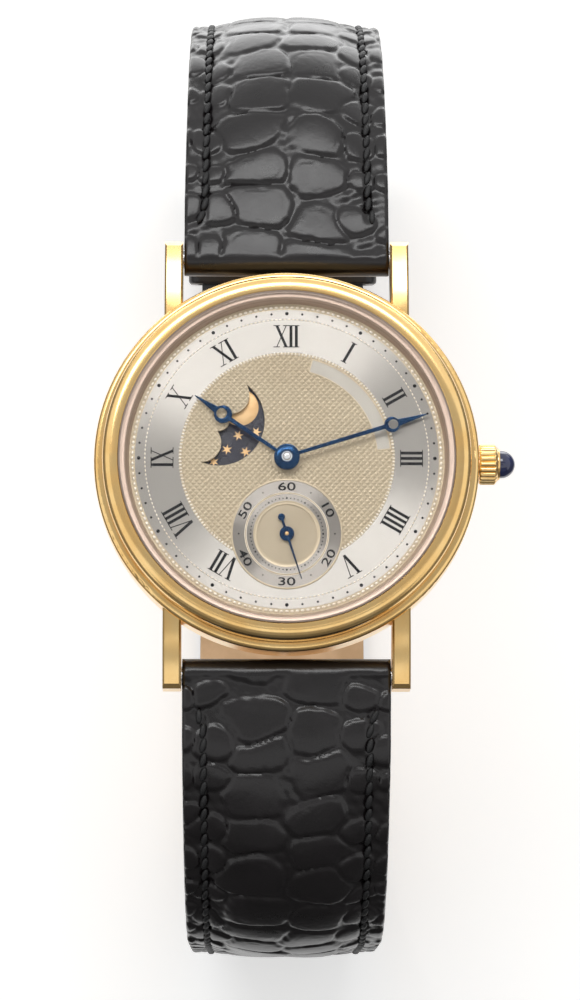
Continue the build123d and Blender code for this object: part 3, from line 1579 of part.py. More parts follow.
with BuildPart() as buckle_bar:
    with BuildSketch(edge_plane(1, upper_legs, upper_length)):
        Circle(buckle_bar_radius)
    extrude(amount=buckle_half - slip, both=True)
    with BuildSketch(edge_plane(1, upper_legs, upper_length)):
        Circle(bar_tip_radius)
    extrude(amount=buckle_half + bar_tip_length, both=True)
finish(buckle_bar.part, "buckle_bar")

tongue_seat = buckle_thickness / 2 + slip
tongue_end = buckle_length + buckle_front + slip
tongue_rise_share = 0.9
with BuildPart() as buckle_tongue:
    with BuildSketch(edge_plane(1, upper_legs, upper_length)):
        with BuildLine():
            Polyline((0, tongue_rise_share * buckle_bar_radius), (buckle_length / 2, tongue_seat),
                     (tongue_end, tongue_seat), (tongue_end, tongue_seat + tongue_thickness / 2),
                     (buckle_length, tongue_seat + tongue_thickness), (0, tongue_ring_radius), close=True)
        make_face()
    extrude(amount=tongue_width / 2, both=True)
    with BuildSketch(edge_plane(1, upper_legs, upper_length)):
        Circle(tongue_ring_radius)
    extrude(amount=tongue_ring_width / 2, both=True)
    with BuildSketch(edge_plane(1, upper_legs, upper_length)):
        Circle(buckle_bar_radius + bar_gap)
    extrude(amount=tongue_ring_width, both=True, mode=Mode.SUBTRACT)
finish(buckle_tongue.part, "buckle_tongue")
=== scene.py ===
# Moon phase watch on a padded alligator strap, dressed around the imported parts.
# Lengths are in mm and turned into metres where a mesh is made.
import json
import math
import random

import bmesh
import bpy
import numpy as np
from mathutils import Matrix, Vector

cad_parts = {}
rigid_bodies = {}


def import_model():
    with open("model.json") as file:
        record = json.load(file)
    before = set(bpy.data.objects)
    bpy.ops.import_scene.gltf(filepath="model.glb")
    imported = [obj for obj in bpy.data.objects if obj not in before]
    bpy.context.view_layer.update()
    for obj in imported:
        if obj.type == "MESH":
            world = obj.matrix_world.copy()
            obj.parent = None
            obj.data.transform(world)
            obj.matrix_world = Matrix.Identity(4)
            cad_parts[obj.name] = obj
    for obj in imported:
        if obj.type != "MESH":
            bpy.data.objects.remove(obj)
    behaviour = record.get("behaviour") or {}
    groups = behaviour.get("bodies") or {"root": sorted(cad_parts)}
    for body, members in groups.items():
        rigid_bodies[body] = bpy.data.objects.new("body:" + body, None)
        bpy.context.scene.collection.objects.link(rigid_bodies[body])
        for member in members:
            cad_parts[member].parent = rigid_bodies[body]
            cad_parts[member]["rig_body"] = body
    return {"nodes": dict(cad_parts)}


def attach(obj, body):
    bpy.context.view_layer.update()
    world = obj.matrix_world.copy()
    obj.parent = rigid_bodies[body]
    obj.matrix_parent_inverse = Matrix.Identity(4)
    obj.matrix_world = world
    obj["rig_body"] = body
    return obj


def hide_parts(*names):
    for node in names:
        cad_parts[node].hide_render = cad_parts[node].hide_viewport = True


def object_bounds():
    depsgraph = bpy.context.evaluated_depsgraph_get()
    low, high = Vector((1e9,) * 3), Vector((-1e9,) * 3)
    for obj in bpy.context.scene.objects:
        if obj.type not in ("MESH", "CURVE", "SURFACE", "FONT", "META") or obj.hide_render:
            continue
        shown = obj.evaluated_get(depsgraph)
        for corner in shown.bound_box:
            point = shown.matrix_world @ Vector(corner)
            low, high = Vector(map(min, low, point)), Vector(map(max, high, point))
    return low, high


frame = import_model()
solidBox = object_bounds()
mm = 0.001
levels = dict(moonTop=4.63, dialLow=4.8, dialTop=5.2, secondsHand=5.3, hourHand=5.6, minuteHand=6.02)
places = dict(dial=(0.0, 0.0), seconds=(0.0, -6.53), moon=(-5.81, 3.28))
print("frame loaded:", len(frame["nodes"]), "parts")


# Node helpers, for shaders and geometry alike
def step(tree, kind, feeds=None, **settings):
    node = tree.nodes.new(kind)
    for key, value in settings.items():
        setattr(node, key, value)
    for key, value in (feeds or {}).items():
        socket = node.inputs[key]
        if isinstance(value, bpy.types.NodeSocket):
            tree.links.new(value, socket)
        else:
            socket.default_value = value
    return node


def newGroup(name, kind, inputs, outputs):
    group = bpy.data.node_groups.new(name, kind)
    addSocket = group.interface.new_socket
    for label, socketType, value in inputs:
        socket = addSocket(name=label, in_out="INPUT", socket_type="NodeSocket" + socketType)
        if value is not None:
            socket.default_value = value
    for label, socketType in outputs:
        addSocket(name=label, in_out="OUTPUT", socket_type="NodeSocket" + socketType)
    given = group.nodes.new("NodeGroupInput").outputs
    return group, given, group.nodes.new("NodeGroupOutput").inputs


def tone(red, green, blue):
    # A colour written in parts of 0 to 255, made linear.
    linear = []
    for part in (red, green, blue):
        share = part / 255
        linear.append(share / 12.92 if part <= 10 else ((share + 0.055) / 1.055) ** 2.4)
    return (*linear, 1.0)


def calc(tree, operation, first, second=0.0):
    return step(tree, "ShaderNodeMath", {0: first, 1: second}, operation=operation).outputs[0]


def spread(tree, value, low, high, toLow, toHigh):
    feeds = {"Value": value, "From Min": low, "From Max": high, "To Min": toLow, "To Max": toHigh}
    return step(tree, "ShaderNodeMapRange", feeds).outputs["Result"]


def objectPoint(tree, scale=(1000.0, 1000.0, 1000.0)):
    # Object coordinates in mm, stretched where a grain has a direction.
    where = step(tree, "ShaderNodeTexCoord").outputs["Object"]
    return step(tree, "ShaderNodeMapping", {"Vector": where, "Scale": scale}).outputs["Vector"]


def noise(tree, where, scale, detail=2.0):
    feeds = {"Vector": where, "Scale": scale, "Detail": detail}
    return step(tree, "ShaderNodeTexNoise", feeds).outputs["Fac"]


def blendColours(tree, share, first, second):
    feeds = {"Factor": share, 6: first, 7: second}
    return step(tree, "ShaderNodeMix", feeds, data_type="RGBA").outputs[2]


def newEffect(name, ownInputs):
    # Every finish has two tones and an uneven gloss, and puts out colour, roughness and relief.
    inputs = [
        ("Tone", "Color", (0.8, 0.8, 0.8, 1)),
        ("Shade", "Color", (0.6, 0.6, 0.6, 1)),
        ("Roughness", "Float", 0.3),
        ("Spread", "Float", 0.1),
    ]
    outputs = [("Color", "Color"), ("Roughness", "Float"), ("Height", "Float")]
    return newGroup(name, "ShaderNodeTree", inputs + ownInputs, outputs)


def makePolish():
    # Handling marks: cloudy tone, uneven gloss and hairline scratches.
    own = [("Scratches", "Float", 0.3), ("Cloud Size", "Float", 3.0)]
    group, given, out = newEffect("handledMetal", own)
    where = objectPoint(group)
    cloud = noise(group, where, calc(group, "DIVIDE", 1.0, given["Cloud Size"]), 4.0)
    lines = noise(group, objectPoint(group, (900, 14000, 5000)), 1.0)
    share = spread(group, cloud, 0.35, 0.7, 0.0, 1.0)
    group.links.new(blendColours(group, share, given["Tone"], given["Shade"]), out["Color"])
    extra = calc(group, "MULTIPLY", share, given["Spread"])
    mark = spread(group, lines, 0.66, 0.75, 0.0, 1.0)
    scratch = calc(group, "MULTIPLY", mark, given["Scratches"])
    marked = calc(group, "MULTIPLY", scratch, given["Spread"])
    rough = calc(group, "ADD", given["Roughness"], calc(group, "ADD", extra, marked))
    group.links.new(rough, out["Roughness"])
    group.links.new(scratch, out["Height"])
    return group


def makeBrushing():
    # Fine lines, straight along X or in circles round a centre in the XY plane.
    own = [("Round", "Float", 0.0), ("Line Width", "Float", 0.08), ("Centre", "Vector", (0.0, 0.0, 0.0))]
    group, given, out = newEffect("brushedMetal", own)
    feeds = {0: objectPoint(group), 1: given["Centre"]}
    away = step(group, "ShaderNodeVectorMath", feeds, operation="SUBTRACT").outputs[0]
    where = step(group, "ShaderNodeSeparateXYZ", {"Vector": away}).outputs
    squares = [calc(group, "MULTIPLY", where[axis], where[axis]) for axis in (0, 1)]
    radius = calc(group, "SQRT", calc(group, "ADD", *squares))
    straight = step(group, "ShaderNodeMix", {"Factor": given["Round"], 2: where[1], 3: radius}).outputs[0]
    across = calc(group, "DIVIDE", straight, given["Line Width"])
    slow = calc(group, "MULTIPLY", where[0], calc(group, "SUBTRACT", 1.0, given["Round"]))
    along = calc(group, "MULTIPLY", slow, 0.25)
    grain = noise(group, step(group, "ShaderNodeCombineXYZ", {0: across, 1: along}).outputs[0], 1.0)
    share = spread(group, grain, 0.3, 0.7, 0.0, 1.0)
    group.links.new(blendColours(group, share, given["Tone"], given["Shade"]), out["Color"])
    extra = calc(group, "MULTIPLY", share, given["Spread"])
    group.links.new(calc(group, "ADD", given["Roughness"], extra), out["Roughness"])
    group.links.new(share, out["Height"])
    return group


def makeHide():
    # Leather face: pores, fine creases and patches of duller wear.
    own = [("Crease Size", "Float", 0.8), ("Pore Size", "Float", 0.12)]
    group, given, out = newEffect("leatherFace", own)
    where = objectPoint(group)
    folds = noise(group, where, calc(group, "DIVIDE", 1.0, given["Crease Size"]), 3.0)
    crease = calc(group, "ABSOLUTE", calc(group, "SUBTRACT", folds, 0.5))
    pores = noise(group, where, calc(group, "DIVIDE", 1.0, given["Pore Size"]), 3.0)
    patch = noise(group, where, 0.35, 4.0)
    share = spread(group, patch, 0.35, 0.65, 0.0, 1.0)
    group.links.new(blendColours(group, share, given["Tone"], given["Shade"]), out["Color"])
    wear = calc(group, "MULTIPLY", given["Spread"], 0.5)
    dull = calc(group, "MULTIPLY", calc(group, "ADD", share, pores), wear)
    group.links.new(calc(group, "ADD", given["Roughness"], dull), out["Roughness"])
    edge = spread(group, crease, 0.0, 0.12, 0.0, 0.6)
    group.links.new(calc(group, "ADD", edge, calc(group, "MULTIPLY", pores, 0.5)), out["Height"])
    return group


effects = dict(metal=makePolish(), brushed=makeBrushing(), hide=makeHide())


def material(name, effect, look, own, bump=0.0, bumpDepth=0.02, **constants):
    # One shader whose colour, gloss and relief come from an effect group with this material's own values.
    made = bpy.data.materials.new(name)
    made.use_nodes = True
    tree = made.node_tree
    shader = tree.nodes["Principled BSDF"]
    for key, value in constants.items():
        shader.inputs[key.replace("_", " ")].default_value = value
    bright, dark, rough, roughSpread = look
    values = {"Tone": tone(*bright), "Shade": tone(*dark), "Roughness": rough, "Spread": roughSpread, **own}
    group = step(tree, "ShaderNodeGroup", node_tree=effects[effect])
    for key, value in values.items():
        group.inputs[key].default_value = value
    tree.links.new(group.outputs["Color"], shader.inputs["Base Color"])
    tree.links.new(group.outputs["Roughness"], shader.inputs["Roughness"])
    if bump:
        feeds = {"Strength": bump, "Distance": bumpDepth * mm, "Height": group.outputs["Height"]}
        tree.links.new(step(tree, "ShaderNodeBump", feeds).outputs["Normal"], shader.inputs["Normal"])
    return made


def metal(name, *look, scratches=0.3, cloud=3.0, **settings):
    return material(name, "metal", look, {"Scratches": scratches, "Cloud Size": cloud}, **settings)


def brushed(name, *look, turned=0.0, line=0.08, centre=(0.0, 0.0), **settings):
    own = {"Round": turned, "Line Width": line, "Centre": (*centre, 0.0)}
    return material(name, "brushed", look, own, **settings)


def leather(name, *look, crease=0.8, pore=0.12, **settings):
    return material(name, "hide", look, {"Crease Size": crease, "Pore Size": pore}, **settings)


turnedRing = dict(
    turned=1.0, line=0.05, bump=0.12, bumpDepth=0.004, Metallic=0.9, Anisotropic=1.0,
    Anisotropic_Rotation=0.25,
)
paints = dict(
    # bright tone, dark tone, roughness and its spread, then the effect's and the shader's own values
    gold=metal("polishedGold", (250, 213, 148), (240, 195, 124), 0.16, 0.06, bump=0.06, Metallic=1.0),
    satinGold=brushed(
        "satinGold", (238, 200, 122), (206, 162, 86), 0.26, 0.14, bump=0.25, bumpDepth=0.01, Metallic=1.0,
    ),
    silver=brushed("satinSilver", (180, 175, 169), (170, 165, 158), 0.34, 0.05, **turnedRing),
    secondsSilver=brushed(
        "secondsSilver", (156, 150, 144), (146, 140, 133), 0.34, 0.05,
        centre=places["seconds"], **turnedRing,
    ),
    champagne=metal(
        "champagneDial", (196, 180, 153), (191, 174, 147), 0.4, 0.06, cloud=6.0, bump=0.03, Metallic=0.35,
    ),
    secondsCentre=metal(
        "secondsCentre", (188, 173, 148), (182, 166, 141), 0.5, 0.06, cloud=4.0, bump=0.03, Metallic=0.2,
    ),
    plaque=metal("plaqueSilver", (176, 170, 160), (168, 161, 151), 0.45, 0.08, bump=0.04, Metallic=0.4),
    pearl=metal("pearlBeads", (248, 240, 226), (236, 222, 200), 0.3, 0.1, bump=0.03, Metallic=0.3),
    flange=brushed(
        "dialFlange", (210, 188, 172), (170, 146, 130), 0.3, 0.1, turned=1.0, line=0.12,
        bump=0.1, bumpDepth=0.004, Metallic=0.8,
    ),
    ink=metal(
        "printedInk", (14, 14, 16), (20, 19, 21), 0.5, 0.1, cloud=0.8, bump=0.05, Specular_IOR_Level=0.2,
    ),
    navy=metal("navyEnamel", (34, 33, 50), (28, 27, 42), 0.22, 0.1, cloud=1.2, bump=0.04, Coat_Weight=0.3),
    gilt=metal("giltMoon", (212, 176, 130), (198, 160, 112), 0.34, 0.1, cloud=1.0, bump=0.08, Metallic=0.7),
    blued=metal("bluedSteel", (30, 60, 92), (20, 40, 66), 0.16, 0.08, cloud=1.5, bump=0.04, Metallic=0.9),
    pin=metal("steelPin", (222, 220, 220), (200, 198, 198), 0.14, 0.05, cloud=0.5, bump=0.04, Metallic=1.0),
    hide=leather(
        "blackAlligator", (13, 9, 10), (18, 13, 15), 0.24, 0.14, crease=1.4, pore=0.1,
        bump=0.35, bumpDepth=0.03, Specular_IOR_Level=0.4, Coat_Weight=0.2, Coat_Roughness=0.15,
    ),
    thread=leather(
        "waxedThread", (10, 10, 11), (16, 15, 17), 0.45, 0.2, crease=0.3, pore=0.06,
        bump=0.6, bumpDepth=0.04,
    ),
    lining=leather(
        "tanLining", (232, 196, 156), (214, 178, 138), 0.6, 0.2, crease=0.7, pore=0.14,
        bump=0.3, bumpDepth=0.03,
    ),
    steel=metal(
        "brightSteel", (204, 205, 208), (186, 187, 190), 0.2, 0.1, cloud=1.5, bump=0.06, Metallic=1.0,
    ),
    rhodium=brushed(
        "rhodiumPlate", (206, 205, 202), (176, 175, 172), 0.24, 0.14, line=0.6, bump=0.3, Metallic=1.0,
    ),
    wheel=brushed(
        "giltWheel", (226, 190, 112), (200, 160, 84), 0.24, 0.1, turned=1.0, line=0.06,
        bump=0.2, bumpDepth=0.01, Metallic=1.0,
    ),
    ruby=metal("rubyJewel", (176, 22, 54), (140, 14, 42), 0.08, 0.05, cloud=0.4, bump=0.02, Coat_Weight=0.6),
    rubber=metal("blackSeal", (34, 34, 36), (46, 46, 48), 0.6, 0.2, cloud=1.0, bump=0.2),
    holder=metal("holderRing", (196, 192, 184), (176, 172, 164), 0.42, 0.14, bump=0.1),
    gasket=metal("nylonSeal", (150, 132, 120), (134, 116, 104), 0.5, 0.1, bump=0.05),
    screw=metal("bluedScrew", (60, 84, 132), (42, 62, 106), 0.18, 0.08, cloud=0.8, bump=0.05, Metallic=0.95),
    spring=metal("springAlloy", (150, 156, 172), (126, 132, 150), 0.22, 0.1, bump=0.05, Metallic=1.0),
    sapphire=metal(
        "blueCabochon", (22, 34, 84), (14, 22, 60), 0.06, 0.03, scratches=0.1, cloud=1.2,
        bump=0.02, Coat_Weight=0.8, Coat_Roughness=0.04,
    ),
)
for ringPaint in (paints["silver"], paints["secondsSilver"]):
    # The silver rings shine in fans, as turned metal does.
    ringTree = ringPaint.node_tree
    tangent = step(ringTree, "ShaderNodeTangent", direction_type="RADIAL", axis="Z").outputs["Tangent"]
    ringTree.links.new(tangent, ringTree.nodes["Principled BSDF"].inputs["Tangent"])


def makeCrystalGlass():
    # Clear glass with little reflection, which lets lamp light straight through to the dial.
    made = bpy.data.materials.new("watchGlass")
    made.use_nodes = True
    tree = made.node_tree
    shader = tree.nodes["Principled BSDF"]
    plain = {"Transmission Weight": 1.0, "IOR": 1.18, "Metallic": 0.0, "Coat Weight": 0.0}
    for key, value in plain.items():
        shader.inputs[key].default_value = value
    smear = noise(tree, objectPoint(tree), 0.25, 3.0)
    tree.links.new(spread(tree, smear, 0.4, 0.7, 0.0, 0.02), shader.inputs["Roughness"])
    tint = blendColours(tree, smear, (1, 1, 1, 1), (0.985, 0.99, 0.99, 1))
    tree.links.new(tint, shader.inputs["Base Color"])
    rays = step(tree, "ShaderNodeLightPath").outputs
    through = calc(tree, "MAXIMUM", rays["Is Shadow Ray"], rays["Is Diffuse Ray"])
    clear = step(tree, "ShaderNodeBsdfTransparent").outputs[0]
    mix = step(tree, "ShaderNodeMixShader", {0: through, 1: shader.outputs[0], 2: clear})
    tree.links.new(mix.outputs[0], tree.nodes["Material Output"].inputs["Surface"])
    return made


paints["glass"] = makeCrystalGlass()
print("materials ready:", len(paints))


# Mesh helpers
def linked(name, data):
    made = bpy.data.objects.new(name, data)
    bpy.context.scene.collection.objects.link(made)
    return made


def meshPiece(name, points, faces, paint, sharpAngle=35):
    data = bpy.data.meshes.new(name)
    data.from_pydata((np.asarray(points, dtype=float) * mm).tolist(), [], [list(face) for face in faces])
    data.materials.append(paint)
    return tidyPiece(name, data, sharpAngle)


def tidyPiece(name, data, sharpAngle=35):
    work = bmesh.new()
    work.from_mesh(data)
    bmesh.ops.remove_doubles(work, verts=work.verts, dist=2e-7)
    bmesh.ops.dissolve_degenerate(work, dist=2e-8, edges=work.edges)
    bmesh.ops.recalc_face_normals(work, faces=work.faces)
    work.to_mesh(data)
    work.free()
    data.shade_smooth()
    data.set_sharp_from_angle(angle=math.radians(sharpAngle))
    return linked(name, data)


def evaluated(piece):
    graph = bpy.context.evaluated_depsgraph_get()
    return bpy.data.meshes.new_from_object(piece.evaluated_get(graph))


def dropPiece(piece):
    bpy.data.objects.remove(piece)


def flattened(holder):
    # A curve or text object as points in mm and faces; the object is used up.
    data = evaluated(holder)
    points = np.array([v.co for v in data.vertices]) / mm
    faces = [list(face.vertices) for face in data.polygons]
    dropPiece(holder)
    return points, faces


def combine(piece, other, operation="DIFFERENCE", sharpAngle=35, solver="EXACT"):
    # One Boolean, made final straight away; the cutter is used up.
    cut = piece.modifiers.new("cut", "BOOLEAN")
    cut.operation = operation
    cut.solver = solver
    cut.object = other
    data = evaluated(piece)
    name = piece.name
    dropPiece(piece)
    dropPiece(other)
    made = tidyPiece(name, data, sharpAngle)
    made.name = name
    return made


def joined(parts):
    # Several (points, faces) as one.
    points, faces, base = [], [], 0
    for some, flats in parts:
        some = np.asarray(some, dtype=float)
        points.append(some)
        faces += [[index + base for index in face] for face in flats]
        base += len(some)
    return np.concatenate(points), faces


def lathe(profile, count=180, centre=(0.0, 0.0)):
    # A closed outline of (radius, height) turned about the vertical through centre.
    turns = np.arange(count) * 2 * math.pi / count
    x, y = centre
    points = [(x + r * math.cos(a), y + r * math.sin(a), z) for r, z in profile for a in turns]
    faces = []
    for row in range(len(profile)):
        base, nextBase = row * count, (row + 1) % len(profile) * count
        for index in range(count):
            after = (index + 1) % count
            faces.append([base + index, base + after, nextBase + after, nextBase + index])
    return np.array(points), faces


def prism(outline, low, high):
    count = len(outline)
    points = [(x, y, z) for z in (low, high) for x, y in outline]
    faces = [list(range(count))[::-1], list(range(count, 2 * count))]
    faces += [[i, (i + 1) % count, count + (i + 1) % count, count + i] for i in range(count)]
    return np.array(points), faces


def circlePoints(radius, centre=(0.0, 0.0), count=96):
    turns = np.arange(count) * 2 * math.pi / count
    return [(centre[0] + radius * math.cos(a), centre[1] + radius * math.sin(a)) for a in turns]


def clockPoint(radius, degrees, centre=(0.0, 0.0)):
    # Degrees clockwise from 12.
    angle = math.radians(degrees)
    return centre[0] + radius * math.sin(angle), centre[1] + radius * math.cos(angle)


def plateMesh(outlines, low, high, edge=0.0):
    # Flat outlines, holes among them, filled and given thickness and a rounded edge by a curve.
    curve = bpy.data.curves.new("plateOutline", "CURVE")
    curve.dimensions = "2D"
    curve.fill_mode = "BOTH"
    curve.extrude = (high - low) / 2 * mm - edge * mm
    curve.bevel_depth = edge * mm
    curve.bevel_resolution = 3
    curve.offset = -edge * mm
    for outline in outlines:
        spline = curve.splines.new("POLY")
        spline.points.add(len(outline) - 1)
        for point, (x, y) in zip(spline.points, outline):
            point.co = (x * mm, y * mm, 0, 1)
        spline.use_cyclic_u = True
    points, faces = flattened(linked("plateOutline", curve))
    return points + (0, 0, (low + high) / 2), faces


def placed(mesh, matrix):
    points = np.asarray(mesh[0]) @ np.array(matrix.to_3x3()).T + np.array(matrix.translation)
    return points, mesh[1]


def dress(piece, body, replaces=()):
    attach(piece, body)
    if replaces:
        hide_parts(*replaces)


# Geometry Nodes trees for what repeats
def makeRingTree():
    tree, given, out = newGroup(
        "ringOfBeads",
        "GeometryNodeTree",
        [
            ("Count", "Int", 60),
            ("Radius", "Float", 0.01),
            ("Bead Size", "Vector", (0.0002, 0.0002, 0.0001)),
            ("Centre", "Vector", (0.0, 0.0, 0.005)),
            ("Finish", "Material", None),
        ],
        [("Geometry", "Geometry")],
    )
    ring = step(tree, "GeometryNodeMeshCircle", {"Vertices": given["Count"], "Radius": given["Radius"]})
    bead = step(tree, "GeometryNodeMeshUVSphere", {"Segments": 8, "Rings": 5, "Radius": 0.5})
    position = step(tree, "GeometryNodeInputPosition").outputs[0]
    where = step(tree, "ShaderNodeSeparateXYZ", {0: position}).outputs
    angle = calc(tree, "ARCTAN2", where[1], where[0])
    euler = step(tree, "ShaderNodeCombineXYZ", {2: angle}).outputs[0]
    turn = step(tree, "FunctionNodeEulerToRotation", {0: euler}).outputs[0]
    feeds = {
        "Points": ring.outputs[0], "Instance": bead.outputs[0],
        "Rotation": turn, "Scale": given["Bead Size"],
    }
    beads = step(tree, "GeometryNodeInstanceOnPoints", feeds).outputs[0]
    real = step(tree, "GeometryNodeRealizeInstances", {0: beads}).outputs[0]
    feeds = {"Geometry": real, "Translation": given["Centre"]}
    moved = step(tree, "GeometryNodeTransform", feeds).outputs[0]
    feeds = {"Geometry": moved, "Material": given["Finish"]}
    tree.links.new(step(tree, "GeometryNodeSetMaterial", feeds).outputs[0], out[0])
    return tree


def makeStitchTree():
    tree, given, out = newGroup(
        "rowOfStitches",
        "GeometryNodeTree",
        [
            ("Geometry", "Geometry", None),
            ("Pitch", "Float", 0.0018),
            ("Stitch Size", "Vector", (0.0004, 0.0003, 0.0015)),
            ("Slant", "Float", 0.0),
            ("Finish", "Material", None),
        ],
        [("Geometry", "Geometry")],
    )
    feeds = {"Curve": given["Geometry"], "Length": given["Pitch"]}
    spots = step(tree, "GeometryNodeCurveToPoints", feeds, mode="LENGTH")
    bead = step(tree, "GeometryNodeMeshUVSphere", {"Segments": 10, "Rings": 7, "Radius": 0.5})
    lean = step(tree, "ShaderNodeCombineXYZ", {1: given["Slant"]}).outputs[0]
    leanTurn = step(tree, "FunctionNodeEulerToRotation", {0: lean}).outputs[0]
    feeds = {"Rotation": spots.outputs["Rotation"], "Rotate By": leanTurn}
    turn = step(tree, "FunctionNodeRotateRotation", feeds, rotation_space="LOCAL").outputs[0]
    feeds = {
        "Points": spots.outputs["Points"], "Instance": bead.outputs[0],
        "Rotation": turn, "Scale": given["Stitch Size"],
    }
    stitches = step(tree, "GeometryNodeInstanceOnPoints", feeds).outputs[0]
    real = step(tree, "GeometryNodeRealizeInstances", {0: stitches}).outputs[0]
    feeds = {"Geometry": real, "Material": given["Finish"]}
    tree.links.new(step(tree, "GeometryNodeSetMaterial", feeds).outputs[0], out[0])
    return tree


repeats = dict(ring=makeRingTree(), stitches=makeStitchTree())


def grown(name, tree, values, start=None):
    # What a tree makes, as a plain mesh piece. Inputs are set by identifier, before it is evaluated.
    holder = linked(name + "Start", start or bpy.data.meshes.new(name + "Start"))
    grow = holder.modifiers.new("repeat", "NODES")
    grow.node_group = tree
    for item in tree.interface.items_tree:
        if item.item_type == "SOCKET" and item.in_out == "INPUT" and item.name in values:
            grow[item.identifier] = values[item.name]
    made = evaluated(holder)
    dropPiece(holder)
    return tidyPiece(name, made, 60)


def beadRing(name, count, radius, size, height, paint, centre=(0.0, 0.0)):
    values = {
        "Count": count, "Radius": radius * mm, "Bead Size": [part * mm for part in size],
        "Centre": (centre[0] * mm, centre[1] * mm, height * mm), "Finish": paint,
    }
    return grown(name, repeats["ring"], values)


# Finish of the parts that stay as they were packed
nodeFinish = dict(
    gold="case_band lugs buckle_frame buckle_bar buckle_tongue",
    satinGold="case_back",
    sapphire="crown_cabochon",
    steel="spring_bars crown_tube winding_stem sliding_pinion winding_pinion setting_lever click "
          "pallet_fork balance_staff barrel_arbor moon_jumper cannon_pinion",
    rhodium="main_plate barrel_bridge train_bridge balance_cock pallet_bridge",
    wheel="barrel_drum barrel_cover centre_wheel third_wheel fourth_wheel escape_wheel balance_wheel "
          "hour_wheel minute_wheel day_wheel ratchet_wheel crown_wheel",
    ruby="jewels pallet_stones",
    rubber="case_back_gasket",
    holder="movement_holder",
    gasket="crystal_gasket",
    screw="bridge_screws",
    spring="hairspring mainspring",
    navy="moon_disc",
)
for finishName, nodeNames in nodeFinish.items():
    for nodeName in nodeNames.split():
        node = frame["nodes"][nodeName]
        if not node.data.materials:
            node.data.materials.append(paints[finishName])
        for holderSlot in node.material_slots:
            holderSlot.material = paints[finishName]
print("packed parts finished")

# Bezel, flange and crystal
bezelPlan = dict(
    outer=15.75, inner=14.38, footInner=15.4, footOuter=15.66, low=4.75, foot=5.0,
    middle=14.62, halfWidth=1.13, level=5.8, halfHeight=1.06, squareness=0.8, turns=22, start=-8, sweep=108,
    top=6.9, lip=6.84, seat=6.42, ledge=13.9, ledgeLow=5.25, recess=14.0,
)
flangePlan = dict(
    # radius and height, up the outside and down the slope that faces the dial
    outline=(
        (13.9, 5.25), (13.9, 6.43), (14.36, 6.43), (14.36, 6.48),
        (13.84, 6.48), (13.78, 6.44), (13.5, 5.6), (13.45, 5.25),
    ),
)
crystalPlan = dict(
    radius=14.2, flat=13.2, low=6.5, top=7.12, dome=0.3, corner=0.14, lowCorner=0.03, rings=14,
)


def makeBezel():
    plan = bezelPlan
    profile = [
        (plan["footInner"], plan["low"]), (plan["footOuter"], plan["foot"] - 0.04),
        (plan["outer"], plan["foot"] + 0.1),
    ]
    for index in range(plan["turns"] + 1):
        # One soft torus from the outer wall over to the crystal's edge.
        share = index / plan["turns"]
        angle = math.radians(plan["start"] + plan["sweep"] * share)
        wide, tall = math.cos(angle), math.sin(angle)
        out = plan["halfWidth"] * math.copysign(abs(wide) ** plan["squareness"], wide)
        rise = plan["halfHeight"] * math.copysign(abs(tall) ** plan["squareness"], tall)
        profile.append((plan["middle"] + out, plan["level"] + rise))
    profile += [
        (plan["inner"] + 0.05, plan["top"]), (plan["inner"], plan["lip"]), (plan["inner"], plan["seat"]),
        (plan["ledge"], plan["seat"]), (plan["ledge"], plan["ledgeLow"]),
        (plan["recess"], plan["ledgeLow"]), (plan["recess"], plan["low"]),
    ]
    ring = meshPiece("bezelRing", *lathe(profile, 240), paints["gold"], 30)
    dress(ring, "case", ["bezel"])
    slope = meshPiece("dialFlange", *lathe(flangePlan["outline"], 240), paints["flange"], 30)
    dress(slope, "case")


def makeCrystal():
    plan = crystalPlan
    edge, low, top, dome = plan["radius"], plan["low"], plan["top"], plan["dome"]
    flatEdge = edge - plan["corner"]
    domeRadius = (edge * edge + dome * dome) / (2 * dome)
    profile = [
        (0.0, low), (plan["flat"], low), (edge - plan["lowCorner"], low), (edge, low + plan["lowCorner"]),
        (edge, top - plan["corner"]), (flatEdge, top),
    ]
    for index in range(1, plan["rings"] + 1):
        radius = flatEdge * (1 - index / plan["rings"])
        fall = domeRadius - math.sqrt(domeRadius ** 2 - radius ** 2)
        profile.append((radius, top + dome - fall))
    glass = meshPiece("crystalGlass", *lathe(profile, 200), paints["glass"], 25)
    dress(glass, "case", ["crystal"])


makeBezel()
makeCrystal()
print("bezel and crystal made")

# Dial
dialPlan = dict(
    radius=13.9, centreHole=0.95, field=9.0, cell=0.53, cellRise=0.075, sunk=0.02,
    ringInner=9.2, ringOuter=12.95, ringRise=0.03,
    plaqueInner=7.68, plaqueOuter=8.9, plaqueFrom=14.0, plaqueTo=85.0, plaqueRise=0.035, degreesPerMm=7,
    frameOut=0.02, frameIn=0.09, frameRise=0.06, frameEdge=0.02,
    footRadius=0.4, footAt=12.6, footTurns=(30.0, -150.0), footLow=3.8, footTop=4.82,
    rimOuter=13.46, rimInner=13.34, rimLow=5.18, rimTop=5.27,
)
moonWindow = dict(
    radius=3.92, scallop=1.67, scallopAt=2.42, scallopSpread=97.0, direction=-30.0, hub=0.9,
    cut=(4.0, 6.0), roundCut=(3.5, 6.5),
)
secondsPlan = dict(
    border=4.76, numberOuter=4.6, numberInner=3.58, trackOuter=3.4, trackInner=2.84, floor=2.56,
    borderRise=0.09, borderEdge=0.03, numberRise=0.04, trackRise=0.02, centreHole=0.45,
    numberAt=4.08, numberSize=0.98, numberWide=1.6,
    # two fine lines: their radii, and their section as distance outwards and height over the dial
    lineRadii=(3.45, 3.58),
    lineSection=((-0.035, -0.02), (0.035, -0.02), (0.03, 0.06), (0, 0.075), (-0.03, 0.06)),
)
